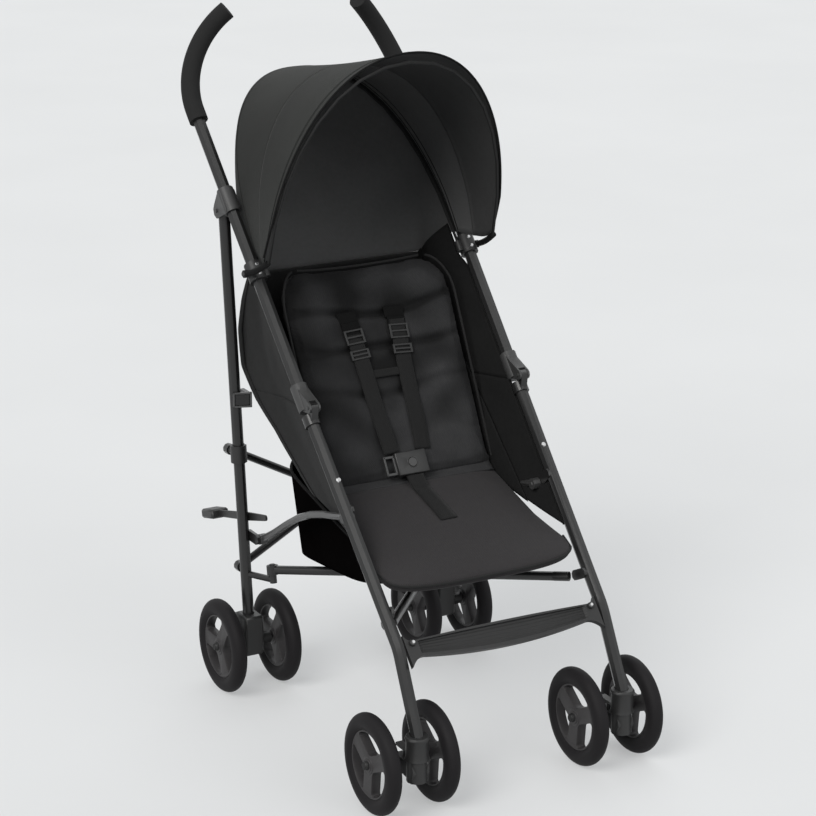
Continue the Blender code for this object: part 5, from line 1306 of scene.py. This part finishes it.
def build_shoulder_strap(side, word):
    across, along = strap_axes(side)
    line = []
    for i in range(61):
        s = STRAP_TOP[1] + (0.032 - STRAP_TOP[1]) * i / 60
        lift = 0.0122 + 0.001 * math.sin(i / 60 * 9.0 + side)
        line.append((strap_middle(side, s, lift), across, PAD_OUT))
    webbing("shoulder_strap_" + word + "_band", line, 0.0125, 0.0018, 0.0, "backrest", PAD_HALF,
            ("shoulder_strap_" + word,))
    build_adjuster(side, "upper_" + word, 0.216, 0.023)
    build_adjuster(side, "lower_" + word, 0.188, 0.015)
    bars = [(strap_middle(side, 0.248, 0.01), (0.033, 0.003, 0.018)),
            (strap_middle(side, 0.23, 0.0128), (0.03, 0.003, 0.02))]
    tab = moulding("strap_tab_" + word, pad_turn(across, along), bars, STRAP_TAB, 0.0012)
    dress(tab, "backrest", PAD_HALF)


def build_harness():
    for side, word in SIDES:
        build_shoulder_strap(side, word)
    # Small crease tape between the straps
    start = strap_middle(RIGHT, 0.156, 0.011)
    end = strap_middle(LEFT, 0.156, 0.011)
    line = [(start.lerp(end, i / 12), PAD_UP, PAD_OUT) for i in range(13)]
    webbing("chest_tape", line, 0.006, 0.0012, 0.0, "backrest", PAD_HALF)
    build_buckle_parts()
    # The crotch strap lies on the seat, then rises to the buckle
    line = [(seat_top(0.5, 0.5 + 0.34 * i / 24), X_AXIS, SEAT_NORMAL) for i in range(25)]
    start = line[-1][0]
    end = pad_point(0.0, -0.006, 0.0148)
    for i in range(1, 9):
        line.append((start.lerp(end, i / 8), X_AXIS, SEAT_NORMAL.lerp(PAD_OUT, i / 8).normalized()))
    webbing("crotch_strap_band", line, 0.0135, 0.0018, 0.0008, "lower", None, ("crotch_strap",))


build_harness()


# Small fittings
HANDLE_OUT = lean_out(HANDLE_TILT)


def rear_leg_point(side, z):
    # Middle of a rear leg at height z
    bracket = handle_point(LEFT, 0.36) - HANDLE_OUT * 0.025
    return mirrored(REAR_HUB.lerp(bracket, (z - REAR_HUB.z) / (bracket.z - REAR_HUB.z)), side)


def build_catch(side, word):
    # Square loop that holds the folded frame
    middle = rear_leg_point(side, 0.461) + Vector((-side * 0.006, -0.0125, 0.0))
    flat = Matrix.Rotation(side * math.radians(20.0), 3, "Z")
    bars = pair(middle, flat @ Vector((0.0, 0.0, 0.0105)), (0.029, 0.005, 0.003))
    bars += pair(middle, flat @ Vector((0.013, 0.0, 0.0)), (0.003, 0.005, 0.024))
    loop = moulding("catch_loop_" + word, flat, bars, LINK_COAT, 0.0007)
    dress(loop, "rear_" + word, None)
    pad = moulding("catch_pad_" + word, flat, [(middle, (0.022, 0.0034, 0.017))], PLASTIC, 0.0008)
    dress(pad, "rear_" + word, None)


def build_fittings():
    for side, word in SIDES:
        build_catch(side, word)
        for distance, name in ((0.229, "low_"), (0.244, "high_")):
            spot = handle_point(side, distance) + HANDLE_OUT * 0.0132
            tip = spot + HANDLE_OUT * 0.0016
            rivet = rod("clip_rivet_" + name + word, spot, tip, 0.0028, RIVET, 20, 0.002)
            dress(rivet, "handle_" + word, None)
        eye = handle_point(side, 0.2365) + X_AXIS * side * 0.017
        foot = front_arch(0.0 if side == LEFT else math.pi) - X_AXIS * side * 0.003
        line = [eye.lerp(foot, i / 12) + Vector((0.0, 0.0, -0.003 * math.sin(math.pi * i / 12)))
                for i in range(2, 13)]
        trim("bow_sleeve_" + word, line, 0.0046, BINDING, "front_bow_body", FRONT_HALF)
        stud = leg_point(side, 0.262)
        out = Vector((-side * 0.25, -math.cos(LEG_TILT), math.sin(LEG_TILT))).normalized()
        dress(rod("leg_stud_" + word, stud + out * 0.009, stud + out * 0.0112, 0.004, RIVET, 24, 0.0028),
              "front_" + word, None)


build_fittings()
